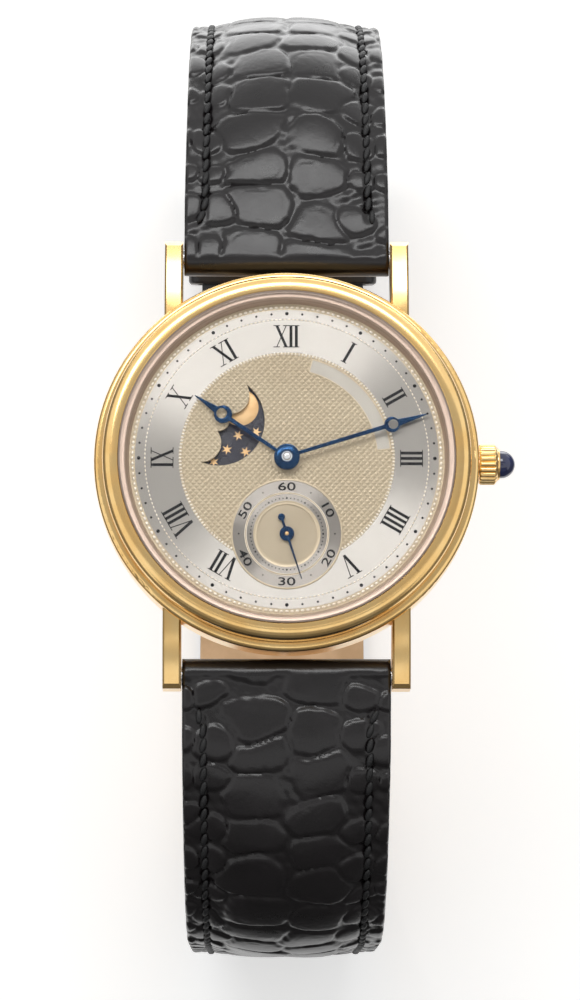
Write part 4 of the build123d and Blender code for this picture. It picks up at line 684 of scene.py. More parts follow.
beadRows = [
    # name, count, radius, (radial, round, tall), paint, the dial it stands on
    ("outerBeads", 184, 13.16, (0.26, 0.34, 0.12), "pearl", "dial"),
    ("dashedRing", 210, 12.1, (0.13, 0.28, 0.09), "pearl", "dial"),
    ("innerBeads", 190, 9.1, (0.3, 0.2, 0.14), "pearl", "dial"),
    ("secondsBeads", 96, 4.7, (0.16, 0.2, 0.1), "champagne", "seconds"),
    ("minuteDots", 60, 12.62, (0.22, 0.22, 0.03), "ink", "dial"),
    ("hourDots", 12, 12.62, (0.34, 0.34, 0.036), "ink", "dial"),
    ("trackDots", 60, 3.08, (0.12, 0.12, 0.03), "ink", "seconds"),
    ("trackFiveDots", 12, 3.08, (0.18, 0.18, 0.034), "ink", "seconds"),
    ("numberDots", 12, 4.08, (0.21, 0.21, 0.03), "ink", "seconds"),
]


def dialPiece(name, mesh, paint, sharpAngle=35):
    dress(meshPiece(name, *mesh, paints[paint], sharpAngle), "case")


def makeWindowCutter():
    # A half disc less the hub and two scallops, which leaves the moon's window.
    plan, (moonX, moonY) = moonWindow, places["moon"]
    facing, reach = math.radians(plan["direction"]), plan["scallopAt"]
    turns = [facing + math.radians(-90 + 180 * i / 72) for i in range(73)]
    outline = [(moonX + plan["radius"] * math.cos(a), moonY + plan["radius"] * math.sin(a)) for a in turns]
    cutter = meshPiece("windowCutter", *prism(outline, *plan["cut"]), paints["navy"])
    rounds = [(0.0, 0.0, plan["hub"])]
    for side in (-1, 1):
        angle = facing + side * math.radians(plan["scallopSpread"])
        rounds.append((reach * math.cos(angle), reach * math.sin(angle), plan["scallop"]))
    for x, y, radius in rounds:
        outline = circlePoints(radius, (moonX + x, moonY + y), 72)
        cutter = combine(cutter, meshPiece("scallop", *prism(outline, *plan["roundCut"]), paints["navy"]))
    return cutter


def plaqueOutline(grow=0.0):
    # When it grows, its ends do so by the degrees that a mm makes at its radius.
    plan, steps = dialPlan, 40
    ends = plan["degreesPerMm"]
    start = plan["plaqueFrom"] - grow * ends
    sweep = plan["plaqueTo"] - plan["plaqueFrom"] + grow * (2 * ends)
    span = [start + sweep * i / steps for i in range(steps + 1)]
    outside = [clockPoint(plan["plaqueOuter"] + grow, a) for a in span]
    return outside + [clockPoint(plan["plaqueInner"] - grow, a) for a in reversed(span)]


def secondsHole():
    # What the seconds dial takes out of the field and the chapter ring.
    return circlePoints(secondsPlan["border"] - 0.1, places["seconds"], 120)


def makeDialPlate():
    plan = dialPlan
    window = makeWindowCutter()
    windowCopy = linked("windowCopy", window.data.copy())
    well = circlePoints(secondsPlan["trackInner"] - 0.28, places["seconds"], 120)
    outlines = [circlePoints(plan["radius"], count=240), circlePoints(plan["centreHole"]), well]
    mesh = plateMesh(outlines, levels["dialLow"], levels["dialTop"])
    plate = combine(meshPiece("dialPlate", *mesh, paints["champagne"]), window, sharpAngle=30)
    feet = []
    for turn in plan["footTurns"]:
        outline = circlePoints(plan["footRadius"], clockPoint(plan["footAt"], turn), 24)
        feet.append(prism(outline, plan["footLow"], plan["footTop"]))
    dialPiece("dialFeet", joined(feet), "steel")
    dress(plate, "case", ["dial"])
    return windowCopy


def makeHobnail(window):
    # Small pyramids in staggered rows, cut to the dial's centre.
    plan = dialPlan
    half = plan["cell"] / 2
    low, high = levels["dialTop"] + 0.005, levels["dialTop"] + plan["cellRise"]
    bottom, top = levels["dialTop"] - 1, levels["dialTop"] + 1
    reach = int(plan["field"] / half) + 3
    points, faces, found = [], [], {}

    def corner(i, j):
        if (i, j) not in found:
            found[(i, j)] = len(points)
            points.append((i * half, j * half, low if (i + j) % 2 else high))
        return found[(i, j)]

    def cutter(outline):
        return meshPiece("fieldCut", *prism(outline, bottom, top), paints["champagne"])

    for i in range(-reach, reach + 1):
        for j in range(-reach, reach + 1):
            if (i + j) % 2 or math.hypot(i * half, j * half) > plan["field"] + plan["cell"]:
                continue
            ring = [corner(i + 1, j), corner(i, j + 1), corner(i - 1, j), corner(i, j - 1)]
            faces += [[ring[k], ring[(k + 1) % 4], corner(i, j)] for k in range(4)]
    sheet = meshPiece("hobnailField", points, faces, paints["champagne"], 5)
    work = bmesh.new()
    work.from_mesh(sheet.data)
    below = bmesh.ops.extrude_face_region(work, geom=list(work.faces))["geom"]
    for part in below:
        if isinstance(part, bmesh.types.BMVert):
            part.co.z = (levels["dialTop"] - plan["sunk"]) * mm
    bmesh.ops.recalc_face_normals(work, faces=work.faces)
    work.to_mesh(sheet.data)
    work.free()
    sheet = combine(sheet, cutter(circlePoints(plan["field"], count=180)), "INTERSECT", 5)
    hub = circlePoints(plan["centreHole"] + 0.35, count=60)
    for outline in (secondsHole(), plaqueOutline(), hub):
        sheet = combine(sheet, cutter(outline), sharpAngle=5)
    sheet = combine(sheet, window, sharpAngle=5)
    dress(sheet, "case")


def ringMesh(outer, inner, rise, centre=(0.0, 0.0), edge=0.0, count=180):
    outlines = [circlePoints(outer, centre, count), circlePoints(inner, centre, count)]
    return plateMesh(outlines, levels["dialTop"] - dialPlan["sunk"], levels["dialTop"] + rise, edge)


def makeDialRings():
    plan, sizes = dialPlan, secondsPlan
    top, centre = levels["dialTop"], places["seconds"]
    low = top - plan["sunk"]
    chapter = ringMesh(plan["ringOuter"], plan["ringInner"], plan["ringRise"], count=240)
    chapter = meshPiece("chapterRing", *chapter, paints["silver"], 30)
    cutter = meshPiece("chapterCut", *prism(secondsHole(), top - 1, top + 1), paints["silver"])
    dress(combine(chapter, cutter, sharpAngle=30), "case")
    dialPiece("dialPlaque", plateMesh([plaqueOutline()], low, top + plan["plaqueRise"]), "plaque")
    outlines = [plaqueOutline(plan["frameOut"]), plaqueOutline(-plan["frameIn"])]
    rim = plateMesh(outlines, low, top + plan["frameRise"], plan["frameEdge"])
    dialPiece("plaqueRim", rim, "champagne", 30)
    numberOuter, numberInner = sizes["numberOuter"], sizes["numberInner"]
    border = ringMesh(sizes["border"], numberOuter, sizes["borderRise"], centre, sizes["borderEdge"])
    dialPiece("secondsBorder", border, "champagne", 30)
    numbers = ringMesh(numberOuter + 0.02, numberInner, sizes["numberRise"], centre)
    dialPiece("secondsNumberRing", numbers, "secondsSilver", 30)
    track = ringMesh(sizes["trackOuter"] + 0.06, sizes["trackInner"], sizes["trackRise"], centre)
    dialPiece("secondsTrack", track, "secondsSilver", 30)
    beading = []
    for radius in sizes["lineRadii"]:
        section = [(radius + out, top + rise) for out, rise in sizes["lineSection"]]
        beading.append(lathe(section, 120, centre))
    dialPiece("secondsLines", joined(beading), "pearl")
    brink, floor, hole = sizes["trackInner"], sizes["floor"], sizes["centreHole"]
    stepDown = [
        (brink + 0.02, top - 0.1), (brink + 0.02, top + 0.03), (brink - 0.05, top + 0.03),
        (floor, top - 0.06), (floor, top - 0.1),
    ]
    dialPiece("secondsStep", lathe(stepDown, 120, centre), "champagne", 30)
    under, over = top - 0.14, top - 0.09
    bottom = [(hole, under), (floor + 0.02, under), (floor + 0.02, over), (hole, over)]
    dialPiece("secondsFloor", lathe(bottom, 120, centre), "secondsCentre", 30)


def makeBeads():
    plan = dialPlan
    height = levels["dialTop"] + plan["ringRise"]
    for name, count, radius, size, paint, dial in beadRows:
        beads = beadRing(name, count, radius, size, height, paints[paint], places[dial])
        if dial == "dial":
            beads = clearInside(beads, places["seconds"], secondsPlan["border"] - 0.05)
        if name == "numberDots":
            beads = clearNumbers(beads)
        dress(beads, "case")
    rim = [
        (plan["rimOuter"], plan["rimLow"]), (plan["rimOuter"], plan["rimTop"]),
        (plan["rimInner"], plan["rimTop"]), (plan["rimInner"], plan["rimLow"]),
    ]
    dialPiece("outerRim", lathe(rim, 240), "champagne", 30)


def islands(work):
    # The separate beads of a realized ring.
    left, groups = set(work.verts), []
    while left:
        pending, group = [left.pop()], []
        while pending:
            vert = pending.pop()
            group.append(vert)
            for edge in vert.link_edges:
                other = edge.other_vert(vert)
                if other in left:
                    left.discard(other)
                    pending.append(other)
        groups.append(group)
    return groups


def dropIslands(piece, unwanted):
    work = bmesh.new()
    work.from_mesh(piece.data)
    for group in islands(work):
        centre = sum((vert.co for vert in group), Vector()) / len(group) / mm
        if unwanted(centre):
            bmesh.ops.delete(work, geom=group, context="VERTS")
    work.to_mesh(piece.data)
    work.free()
    return piece


def clearInside(piece, centre, radius):
    return dropIslands(piece, lambda at: math.hypot(at.x - centre[0], at.y - centre[1]) < radius)


def clearNumbers(piece):
    # Number dots stand only at the fives between the tens.
    def atTen(at):
        angle = math.degrees(math.atan2(at.x - places["seconds"][0], at.y - places["seconds"][1])) % 60
        return min(angle, 60 - angle) < 10
    return dropIslands(piece, atTen)


# Numerals: thick and thin strokes with hairline serifs
numeralPlan = dict(
    inner=9.66, outer=11.6, thick=0.25, thin=0.08, serif=0.56, serifThick=0.07, stemPitch=0.46, wide=1.16,
    margin=0.16, over=0.04, rise=0.03,
)
hourNumerals = ["XII", "I", "II", "III", "IIII", "V", None, "VII", "VIII", "IX", "X", "XI"]


def numeralStrokes(word):
    plan = numeralPlan
    tall, wide, over = plan["outer"] - plan["inner"], plan["wide"], plan["over"]
    thick, thin, flat = plan["thick"], plan["thin"], plan["serifThick"]
    advance = {"I": plan["stemPitch"], "V": wide, "X": wide}
    total = sum(advance[letter] for letter in word)
    strokes, x = [], -total / 2
    for letter in word:
        middle, half = x + advance[letter] / 2, advance[letter] / 2 - plan["margin"]
        if letter == "I":
            runs = [(middle, middle, thick)]
        elif letter == "V":
            runs = [(middle, middle - half, thick), (middle + over, middle + half, thin)]
        else:
            runs = [(middle + half, middle - half, thick), (middle - half, middle + half, thin)]
        for low, high, size in runs:
            strokes.append([
                (low - size / 2, 0), (low + size / 2, 0), (high + size / 2, tall), (high - size / 2, tall),
            ])
            ends = [(high, tall)] if letter == "V" else [(low, 0), (high, tall)]
            reach = plan["serif"] / 2 if letter != "I" else plan["stemPitch"] / 2 + over
            for place, level in ends:
                base = level - flat if level else 0.0
                strokes.append([
                    (place - reach, base), (place + reach, base),
                    (place + reach, base + flat), (place - reach, base + flat),
                ])
        x += advance[letter]
    return strokes


def makeNumerals():
    low = levels["dialTop"] + dialPlan["ringRise"] - 0.01
    parts = []
    for hour, word in enumerate(hourNumerals):
        if not word:
            continue
        turn = math.radians(30 * hour)
        cosine, sine = math.cos(turn), math.sin(turn)
        for index, stroke in enumerate(numeralStrokes(word)):
            outline = []
            for x, y in stroke:
                out = y + numeralPlan["inner"]
                outline.append((x * cosine + out * sine, out * cosine - x * sine))
            # Strokes one after another differ a little in height, and so don't flicker where they cross.
            parts.append(prism(outline, low, low + numeralPlan["rise"] + 0.001 * (index % 5)))
    dialPiece("hourNumerals", joined(parts), "ink", 30)


def wordMesh(word, size, low, high, widen=1.0):
    curve = bpy.data.curves.new("number", "FONT")
    curve.body = word
    curve.size = size * mm
    curve.align_x = "CENTER"
    curve.extrude = (high - low) / 2 * mm
    curve.offset = 0.01 * mm
    points, faces = flattened(linked("number", curve))
    points[:, 1] -= (points[:, 1].min() + points[:, 1].max()) / 2
    points[:, 0] = (points[:, 0] - (points[:, 0].min() + points[:, 0].max()) / 2) * widen
    points[:, 2] += (low + high) / 2
    return points, faces


def makeSecondsNumbers():
    plan, parts = secondsPlan, []
    low = levels["dialTop"] + 0.03
    for index, word in enumerate(("60", "10", "20", "30", "40", "50")):
        turn = 60 * index
        spin = turn if index in (0, 1, 5) else turn - 180
        x, y = clockPoint(plan["numberAt"], turn, places["seconds"])
        matrix = Matrix.Translation((x, y, 0)) @ Matrix.Rotation(-math.radians(spin), 4, "Z")
        number = wordMesh(word, plan["numberSize"], low, low + 0.03, plan["numberWide"])
        parts.append(placed(number, matrix))
    dialPiece("secondsNumbers", joined(parts), "ink", 30)


moonPlan = dict(
    faceAt=2.18, faceTurns=(34.6, 214.6),
    # radius and height over the disc
    face=((0, -0.01), (1.6, -0.01), (1.6, 0.03), (1.5, 0.05), (0.8, 0.06), (0, 0.062)),
    starOuter=0.47, starInner=0.17, starRise=0.04,
    # direction and distance from the disc's centre, and the star's own turn
    stars=(
        (-36, 2.06, 10), (-16, 3.33, 4), (-74, 2.53, 22), (-49, 3.49, 14), (-97, 3.53, 30),
        (144, 2.06, 8), (164, 3.33, 16), (106, 2.53, 25), (131, 3.49, 5), (83, 3.53, 12),
    ),
)


def makeMoon():
    plan, top, centre = moonPlan, levels["moonTop"], places["moon"]

    def onDisc(degrees, distance):
        angle = math.radians(degrees)
        return centre[0] + distance * math.cos(angle), centre[1] + distance * math.sin(angle)

    profile = [(radius, top + rise) for radius, rise in plan["face"]]
    faces = [lathe(profile, 72, onDisc(angle, plan["faceAt"])) for angle in plan["faceTurns"]]
    dress(meshPiece("moonFaces", *joined(faces), paints["gilt"], 40), "moon")
    stars = []
    for angle, distance, lean in plan["stars"]:
        x, y = onDisc(angle, distance)
        outline = []
        for k in range(12):
            radius = plan["starInner"] if k % 2 else plan["starOuter"]
            turn = math.radians(30 * k + lean)
            outline.append((x + radius * math.cos(turn), y + radius * math.sin(turn)))
        stars.append(prism(outline, top - 0.01, top + plan["starRise"]))
    dress(meshPiece("moonStars", *joined(stars), paints["gilt"], 30), "moon")


window = makeDialPlate()
makeHobnail(window)
makeDialRings()
makeBeads()
makeNumerals()
makeSecondsNumbers()
makeMoon()
print("dial made")

# Hands
handPlan = dict(
    thick=0.12, edge=0.035, hub=1.09, shaft=0.3, shaftTip=0.36, leaf=0.6, point=0.08, pointLength=0.06,
)
hourPlan = dict(
    angle=304.3, level=levels["hourHand"], length=9.53, ring=6.6, radius=0.78, hole=0.45, bore=0.75,
    offset=0.14,
)
minutePlan = dict(
    angle=72.8, level=levels["minuteHand"], length=12.56, ring=9.37, radius=0.67, hole=0.42, bore=0.5,
    offset=0.12,
    # the boss on its hub: radius, and height over the hand
    boss=((0.46, -0.02), (0.96, -0.02), (0.96, 0.07), (0.88, 0.12), (0.46, 0.12)),
)
secondsHandPlan = dict(
    angle=162.0, thick=0.12, edge=0.02, hub=0.62, bore=0.18, halfShaft=0.1, length=4.05, halfPoint=0.03,
    tailAt=-1.5, tailRadius=0.3, tailFrom=20,
    # the cap on its hub: radius, and height over the hand's underside
    cap=((0, 0.1), (0.17, 0.1), (0.17, 0.15), (0.1, 0.19), (0, 0.2)),
)
pinPlan = dict(
    # radius and height
    profile=((0, 6.2), (0.32, 6.2), (0.32, 6.36), (0.29, 6.4), (0.21, 6.44), (0.11, 6.465), (0, 6.47)),
)


def handMatrix(angle, centre=(0.0, 0.0)):
    return Matrix.Translation((*centre, 0)) @ Matrix.Rotation(math.radians(90 - angle), 4, "Z")


def makeRingHand(name, plan, body, node):
    # One outline: hub, tapering shaft, ring with its hole set off centre, and a leaf point.
    shape = handPlan
    outline = []

    def arc(centre, radius, start, end, count=28):
        for i in range(count + 1):
            a = math.radians(start + (end - start) * i / count)
            outline.append((centre + radius * math.cos(a), radius * math.sin(a)))

    hubAngle = math.degrees(math.asin(shape["shaft"] / 2 / shape["hub"]))
    ringIn = math.degrees(math.asin(shape["shaftTip"] / 2 / plan["radius"]))
    ringOut = math.degrees(math.asin(shape["leaf"] / 2 / plan["radius"]))
    arc(0, shape["hub"], hubAngle, 360 - hubAngle, 60)
    arc(plan["ring"], plan["radius"], -180 + ringIn, -ringOut)
    shoulder = plan["length"] - shape["pointLength"]
    outline += [(shoulder, -shape["point"] / 2), (plan["length"], 0), (shoulder, shape["point"] / 2)]
    arc(plan["ring"], plan["radius"], ringOut, 180 - ringIn)
    hole = circlePoints(plan["hole"], (plan["ring"] + plan["offset"], 0), 40)
    bore = circlePoints(plan["bore"], count=40)
    top = plan["level"] + shape["thick"]
    plate = plateMesh([outline, hole, bore], plan["level"], top, shape["edge"])
    parts = [placed(plate, handMatrix(plan["angle"]))]
    if "boss" in plan:
        parts.append(lathe([(radius, top + rise) for radius, rise in plan["boss"]], 60))
    dress(meshPiece(name, *joined(parts), paints["blued"], 40), body, [node])


def makeSecondsHand():
    plan, low, centre = secondsHandPlan, levels["secondsHand"], places["seconds"]
    hub, half, tailRadius = plan["hub"], plan["halfShaft"], plan["tailRadius"]
    tail = []
    for degrees in range(plan["tailFrom"], 361 - plan["tailFrom"], 16):
        a = math.radians(degrees)
        tail.append((plan["tailAt"] + tailRadius * math.cos(a), tailRadius * math.sin(a)))
    tailEnd = tail[0][0]
    gap = math.degrees(math.asin(half / hub))
    turns = [math.radians(a) for a in np.linspace(180 - gap, gap, 24)]
    upper = [(hub * math.cos(a), hub * math.sin(a)) for a in turns]
    lower = [(x, -y) for x, y in reversed(upper)]
    tip = [(plan["length"], plan["halfPoint"]), (plan["length"], -plan["halfPoint"])]
    outline = [(tailEnd, half)] + upper + tip + lower + [(tailEnd, -half)] + tail[::-1][1:-1]
    bore = circlePoints(plan["bore"], count=24)
    plate = plateMesh([outline, bore], low, low + plan["thick"], plan["edge"])
    plate = placed(plate, handMatrix(plan["angle"], centre))
    hand = meshPiece("secondsHand", *plate, paints["blued"], 40)
    dress(hand, "seconds", ["seconds_hand"])
    cap = lathe([(radius, low + rise) for radius, rise in plan["cap"]], 32, centre)
    dress(meshPiece("secondsCap", *cap, paints["gilt"], 40), "seconds")


def makeCentrePin():
    pin = meshPiece("handPin", *lathe(pinPlan["profile"], 40), paints["pin"], 50)
    dress(pin, "minutes")


makeRingHand("hourHand", hourPlan, "hours", "hour_hand")
makeRingHand("minuteHand", minutePlan, "minutes", "minute_hand")
makeSecondsHand()
makeCentrePin()
print("hands made")

# Crown
crownPlan = dict(
    start=16.55, radius=1.75, height=2.5, flutes=20, fluteDepth=0.2, fluteShape=0.8, fluteSteps=12,
    # along the axis from the start, share of the radius, share of the flutes' depth
    rows=(
        (0.5, 0.0, 0), (0.5, 0.62, 0), (0.0, 0.66, 0), (0.0, 0.86, 0), (0.0, 0.93, 0), (0.1, 0.985, 0.4),
        (0.22, 1.0, 1), (1.26, 1.0, 1), (1.36, 0.985, 0.5), (1.42, 0.94, 0.1), (1.58, 0.84, 0),
        (1.59, 0.8, 0), (1.64, 0.8, 0), (1.66, 0.775, 0), (1.76, 0.76, 0), (1.78, 0.73, 0), (1.78, 0.6, 0),
        (1.7, 0.4, 0), (1.7, 0.0, 0),
    ),
)


def makeCrown():
    plan = crownPlan
    around, rows = plan["flutes"] * plan["fluteSteps"], plan["rows"]
    points, faces = [], []
    for along, share, deep in rows:
        for k in range(around):
            angle = 2 * math.pi * k / around
            ripple = abs(math.sin(angle * plan["flutes"] / 2)) ** plan["fluteShape"]
            radius = plan["radius"] * share - plan["fluteDepth"] * deep * (1 - ripple)
            y, z = radius * math.cos(angle), plan["height"] + radius * math.sin(angle)
            points.append((plan["start"] + along, y, z))
    for row in range(len(rows) - 1):
        base, nextBase = row * around, (row + 1) * around
        for k in range(around):
            after = (k + 1) % around
            faces.append([base + k, base + after, nextBase + after, nextBase + k])
    dress(meshPiece("crownKnob", points, faces, paints["gold"], 40), "crown_group", ["crown"])


makeCrown()
print("crown made")

# Strap: padded leather halves with raised scales, their linings, stitches and keepers
strapPlan = dict(
    barReach=18.3, barHeight=1.8, slope=8.0, width=17.8, endWidth=16.0, root=5.0, rootLoop=1.5,
    rootThick=3.1, padThick=3.7, tailThick=2.1, padPeak=15.0, padEnd=52.0,
    rootCrown=0.05, padCrown=1.25, tailCrown=0.4, crownInset=1.95, crownShape=2.3,
    tip=11.0, tipShape=2.82, lining=0.6, edge=0.34, foot=0.12, acrossStep=0.155, alongStep=0.175,
    stitchInset=1.8, stitchStart=3.4, grooveWidth=0.3, grooveDepth=0.14,
)
# legs: the length of a straight, or the radius of a bend, and the degrees that it turns
upperStrap = dict(
    side=1, length=75.0, legs=((9.0, 0.0), (20.0, 82.0), (6.0, 0.0), (18.0, 78.0)),
    endLoop=1.3, endBlock=5.0, seed=7, rowLean=-0.1,
)
lowerStrap = dict(
    side=-1, length=108.0, legs=((5.0, 0.0), (19.0, 82.0), (12.5, 0.0), (20.0, 90.0)),
    endLoop=0.0, endBlock=0.0, seed=23, rowLean=0.28,
)
tongueSlot = dict(before=3.6, past=4.0, half=1.55)
holePlan = dict(first=17.0, pitch=6.5, count=7, radius=0.85)
scalePlan = dict(
    depth=0.19, valley=0.2, roundness=2.0, blend=5, stretch=1.3, bendAcross=1.0, bendAlong=0.9,
    pillow=0.07, tilt=0.035, crinkle=0.1, broad=0.02, foldDepth=0.035, foldAt=0.85, foldWidth=0.13,
    rowPitch=(3.2, 4.2), jitter=0.62,
    # place across the strap, and size, of the scales in a row
    columns=((-8.7, 0.56), (-6.4, 0.66), (-2.65, 1.15), (2.65, 1.15), (6.4, 0.66), (8.7, 0.56)),
)


def strapStation(half, distance):
    # Place and heading of the strap's middle, so far along it from the spring bar.
    out, height, heading = strapPlan["barReach"], strapPlan["barHeight"], math.radians(strapPlan["slope"])
    for size, turn in half["legs"]:
        length = size * math.radians(turn) if turn else size
        part = min(distance, length)
        if turn:
            after = heading + part / size
            out += size * (math.sin(after) - math.sin(heading))
            height += size * (math.cos(after) - math.cos(heading))
            heading = after
        else:
            out += part * math.cos(heading)
            height -= part * math.sin(heading)
        distance -= part
    return out + distance * math.cos(heading), height - distance * math.sin(heading), heading


def strapPoint(half, distance, across, outward):
    out, height, heading = strapStation(half, distance)
    reach = out + outward * math.sin(heading)
    return across, half["side"] * reach, height + outward * math.cos(heading)


def eased(distance, start, end, first, last):
    share = min(max((distance - start) / (end - start), 0), 1)
    return first + (last - first) * share * share * (3 - 2 * share)


def padded(distance, root, pad, tail):
    plan = strapPlan
    if distance < plan["padPeak"]:
        return eased(distance, plan["root"], plan["padPeak"], root, pad)
    return eased(distance, plan["padPeak"], plan["padEnd"], pad, tail)


def strapThick(distance):
    return padded(distance, strapPlan["rootThick"], strapPlan["padThick"], strapPlan["tailThick"])


def strapCrown(distance):
    return padded(distance, strapPlan["rootCrown"], strapPlan["padCrown"], strapPlan["tailCrown"])


def strapHalfWidth(half, distance):
    plan, length = strapPlan, half["length"]
    share = min(max(distance - plan["root"], 0) / (length - plan["root"]), 1)
    wide = (plan["width"] + (plan["endWidth"] - plan["width"]) * share) / 2
    if not half["endLoop"] and distance > length - plan["tip"]:
        share = min((distance - length + plan["tip"]) / plan["tip"], 0.997)
        wide *= 1 - share ** plan["tipShape"]
    return wide


def smooth(value, low, high):
    share = np.clip((value - low) / (high - low), 0, 1)
    return share * share * (3 - 2 * share)


def ripples(x, s, seed, low, high, count=7):
    draw = random.Random(seed)
    total = np.zeros_like(x)
    for _ in range(count):
        angle, rate, phase = draw.uniform(0, math.pi), draw.uniform(low, high), draw.uniform(0, 6.28)
        total += np.sin(rate * (x * math.cos(angle) + s * math.sin(angle)) + phase)
    return total / count


def scaleRelief(x, s, half):
    # Height of the hide over its lowest grooves, from rows of plump scales and their three nearest centres.
    plan, seed = scalePlan, half["seed"]
    jitter, blend = plan["jitter"], plan["blend"]
    draw = random.Random(seed)
    centres, along = [], -4.0
    while along < half["length"] + 4:
        for place, size in plan["columns"]:
            centres.append((
                place + draw.uniform(-jitter, jitter) * size,
                along + half["rowLean"] * place + draw.uniform(-jitter, jitter),
                size * draw.uniform(0.94, 1.08), draw.uniform(-1, 1), draw.uniform(-1, 1),
            ))
        along += draw.uniform(*plan["rowPitch"])
    bentX = x + plan["bendAcross"] * ripples(x, s, seed + 1, 0.4, 1.3)
    bentS = s + plan["bendAlong"] * ripples(x, s, seed + 2, 0.4, 1.3)
    first, second, third = (np.full_like(x, 99.0) for _ in range(3))
    lean = np.zeros_like(x)
    for cx, cs, size, leanX, leanS in centres:
        dx, ds = bentX - cx, bentS - cs
        far = np.sqrt((dx / plan["stretch"]) ** 2 + ds ** 2) / size
        lean = np.where(far < first, leanX * dx + leanS * ds, lean)
        third = np.minimum(third, np.maximum(second, far))
        second = np.minimum(second, np.maximum(first, far))
        first = np.minimum(first, far)
    # Distance in from the nearest groove, where the groove's two or three edges blend.
    edges = (second - first, third - first, 1.7 * (plan["roundness"] - first))
    gap = -np.log(sum(np.exp(-blend * np.maximum(some, -4)) for some in edges)) / blend
    gap = np.sqrt(np.maximum(gap, 0) ** 2 + 0.015) - 0.12
    top = 1 - np.exp(-gap / plan["valley"])
    fine = ripples(x, s, seed + 3, 3.5, 8.0)
    broad = ripples(x, s, seed + 4, 1.0, 2.6)
    relief = plan["depth"] * (top - 1) + plan["crinkle"] * np.exp(-gap / 0.35) * fine
    relief += plan["pillow"] * (1 - np.minimum(first / 2.0, 1) ** 2) - plan["pillow"]
    fold = np.exp(-(((gap - plan["foldAt"]) / plan["foldWidth"]) ** 2)) * np.clip(2.5 * broad, 0, 1)
    return relief + plan["tilt"] * lean * top + plan["broad"] * broad - plan["foldDepth"] * fold


def shellFromRows(rows):
    # Closed loops one after another, capped at both ends.
    count = len(rows[0])
    points = np.concatenate(rows)
    faces = []
    for row in range(len(rows) - 1):
        base = row * count
        for k in range(count):
            after = (k + 1) % count
            faces.append((base + k, base + after, base + count + after, base + count + k))
    last = (len(rows) - 1) * count
    faces += [tuple(range(count))[::-1], tuple(range(last, last + count))]
    return points, faces


def leatherRows(half):
    # Stations along the half, each with its top, and its underside where that isn't the top mirrored.
    plan, length = strapPlan, half["length"]
    loop, endLoop = plan["rootLoop"], half["endLoop"]
    rows = []
    for share in np.linspace(0.04, 0.96, 9):
        s = -loop * math.cos(share * math.pi / 2)
        rows.append((s, math.sqrt(loop * loop - s * s), None))
    blockStart = length - half["endBlock"]
    count = round(length / plan["alongStep"])
    for k in range(count + 1):
        s = length * k / count
        top = strapThick(s) / 2
        low = plan["lining"] - top
        if s < plan["root"]:
            top, low = loop + (plan["rootThick"] / 2 - loop) * s / plan["root"], None
        elif endLoop and s > blockStart:
            top, low = top + (endLoop - top) * (s - blockStart) / half["endBlock"], None
        rows.append((s, top, low))
    if endLoop:
        for share in np.linspace(0.04, 0.96, 8):
            s = endLoop * math.sin(share * math.pi / 2)
            rows.append((length + s, math.sqrt(endLoop * endLoop - s * s), None))
    return rows


def makeLeather(name, half, nodes):
    plan, length = strapPlan, half["length"]
    columns = round(plan["width"] / plan["acrossStep"])
    spans = np.linspace(-1, 1, columns + 1)
    rows = leatherRows(half)
    wide = np.array([strapHalfWidth(half, s) for s, _, _ in rows])
    tops = np.array([top for _, top, _ in rows])
    stations = np.array([s for s, _, _ in rows])
    edge = np.minimum(plan["edge"], np.minimum(tops * 0.6, wide * 0.3))
    x = (wide - edge)[:, None] * spans[None, :]
    s = np.repeat(stations[:, None], columns + 1, axis=1)
    crown = np.array([min(strapCrown(max(d, 0)), top * 0.8) for d, top in zip(stations, tops)])
    inner = np.maximum(wide - plan["crownInset"], 0.4)[:, None]
    rise = 1 - np.minimum(np.abs(x) / inner, 1) ** plan["crownShape"]
    outward = tops[:, None] - crown[:, None] * (1 - rise)
    fade = smooth(s, -0.6, 0.5)
    if half["endLoop"]:
        fade = fade * (1 - smooth(s, length - 6, length - 4))
    outward = outward + scaleRelief(x, s, half) * fade
    seam = wide[:, None] - plan["stitchInset"]
    groove = np.exp(-(((np.abs(x) - seam) / plan["grooveWidth"]) ** 2))
    sewn = smooth(s, plan["stitchStart"] - 0.8, plan["stitchStart"])
    outward = outward - plan["grooveDepth"] * groove * sewn
    loops = []
    for k, (distance, top, low) in enumerate(rows):
        if low is None:
            low = -top
        loop = [(x[k, c], outward[k, c]) for c in range(columns + 1)]
        w, e = wide[k], edge[k]
        right, left = outward[k, -1], outward[k, 0]
        side = [(w - e + e * math.sin(a), -e + e * math.cos(a)) for a in (0.5, 1.05, math.pi / 2)]
        loop += [(sx, right + sz) for sx, sz in side]
        foot = min(plan["foot"], top * 0.3)
        loop += [(w, low + foot), (w - foot, low)]
        loop += [(bx, low) for bx in np.linspace(w - foot, foot - w, 8)[1:-1]]
        loop += [(foot - w, low), (-w, low + foot)]
        loop += [(-sx, left + sz) for sx, sz in reversed(side)]
        out, height, heading = strapStation(half, distance)
        loop = np.array(loop)
        loops.append(np.column_stack([
            loop[:, 0],
            half["side"] * (out + loop[:, 1] * math.sin(heading)),
            height + loop[:, 1] * math.cos(heading),
        ]))
    piece = meshPiece(name, *shellFromRows(loops), paints["hide"], 50)
    cutters = tongueOpening(half) if half["endLoop"] else strapHoles(half)
    cutter = meshPiece("strapCutter", *joined(cutters), paints["hide"])
    piece = combine(piece, cutter, sharpAngle=50, solver="MANIFOLD")
    dress(piece, frame["nodes"][nodes[0]]["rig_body"], nodes)


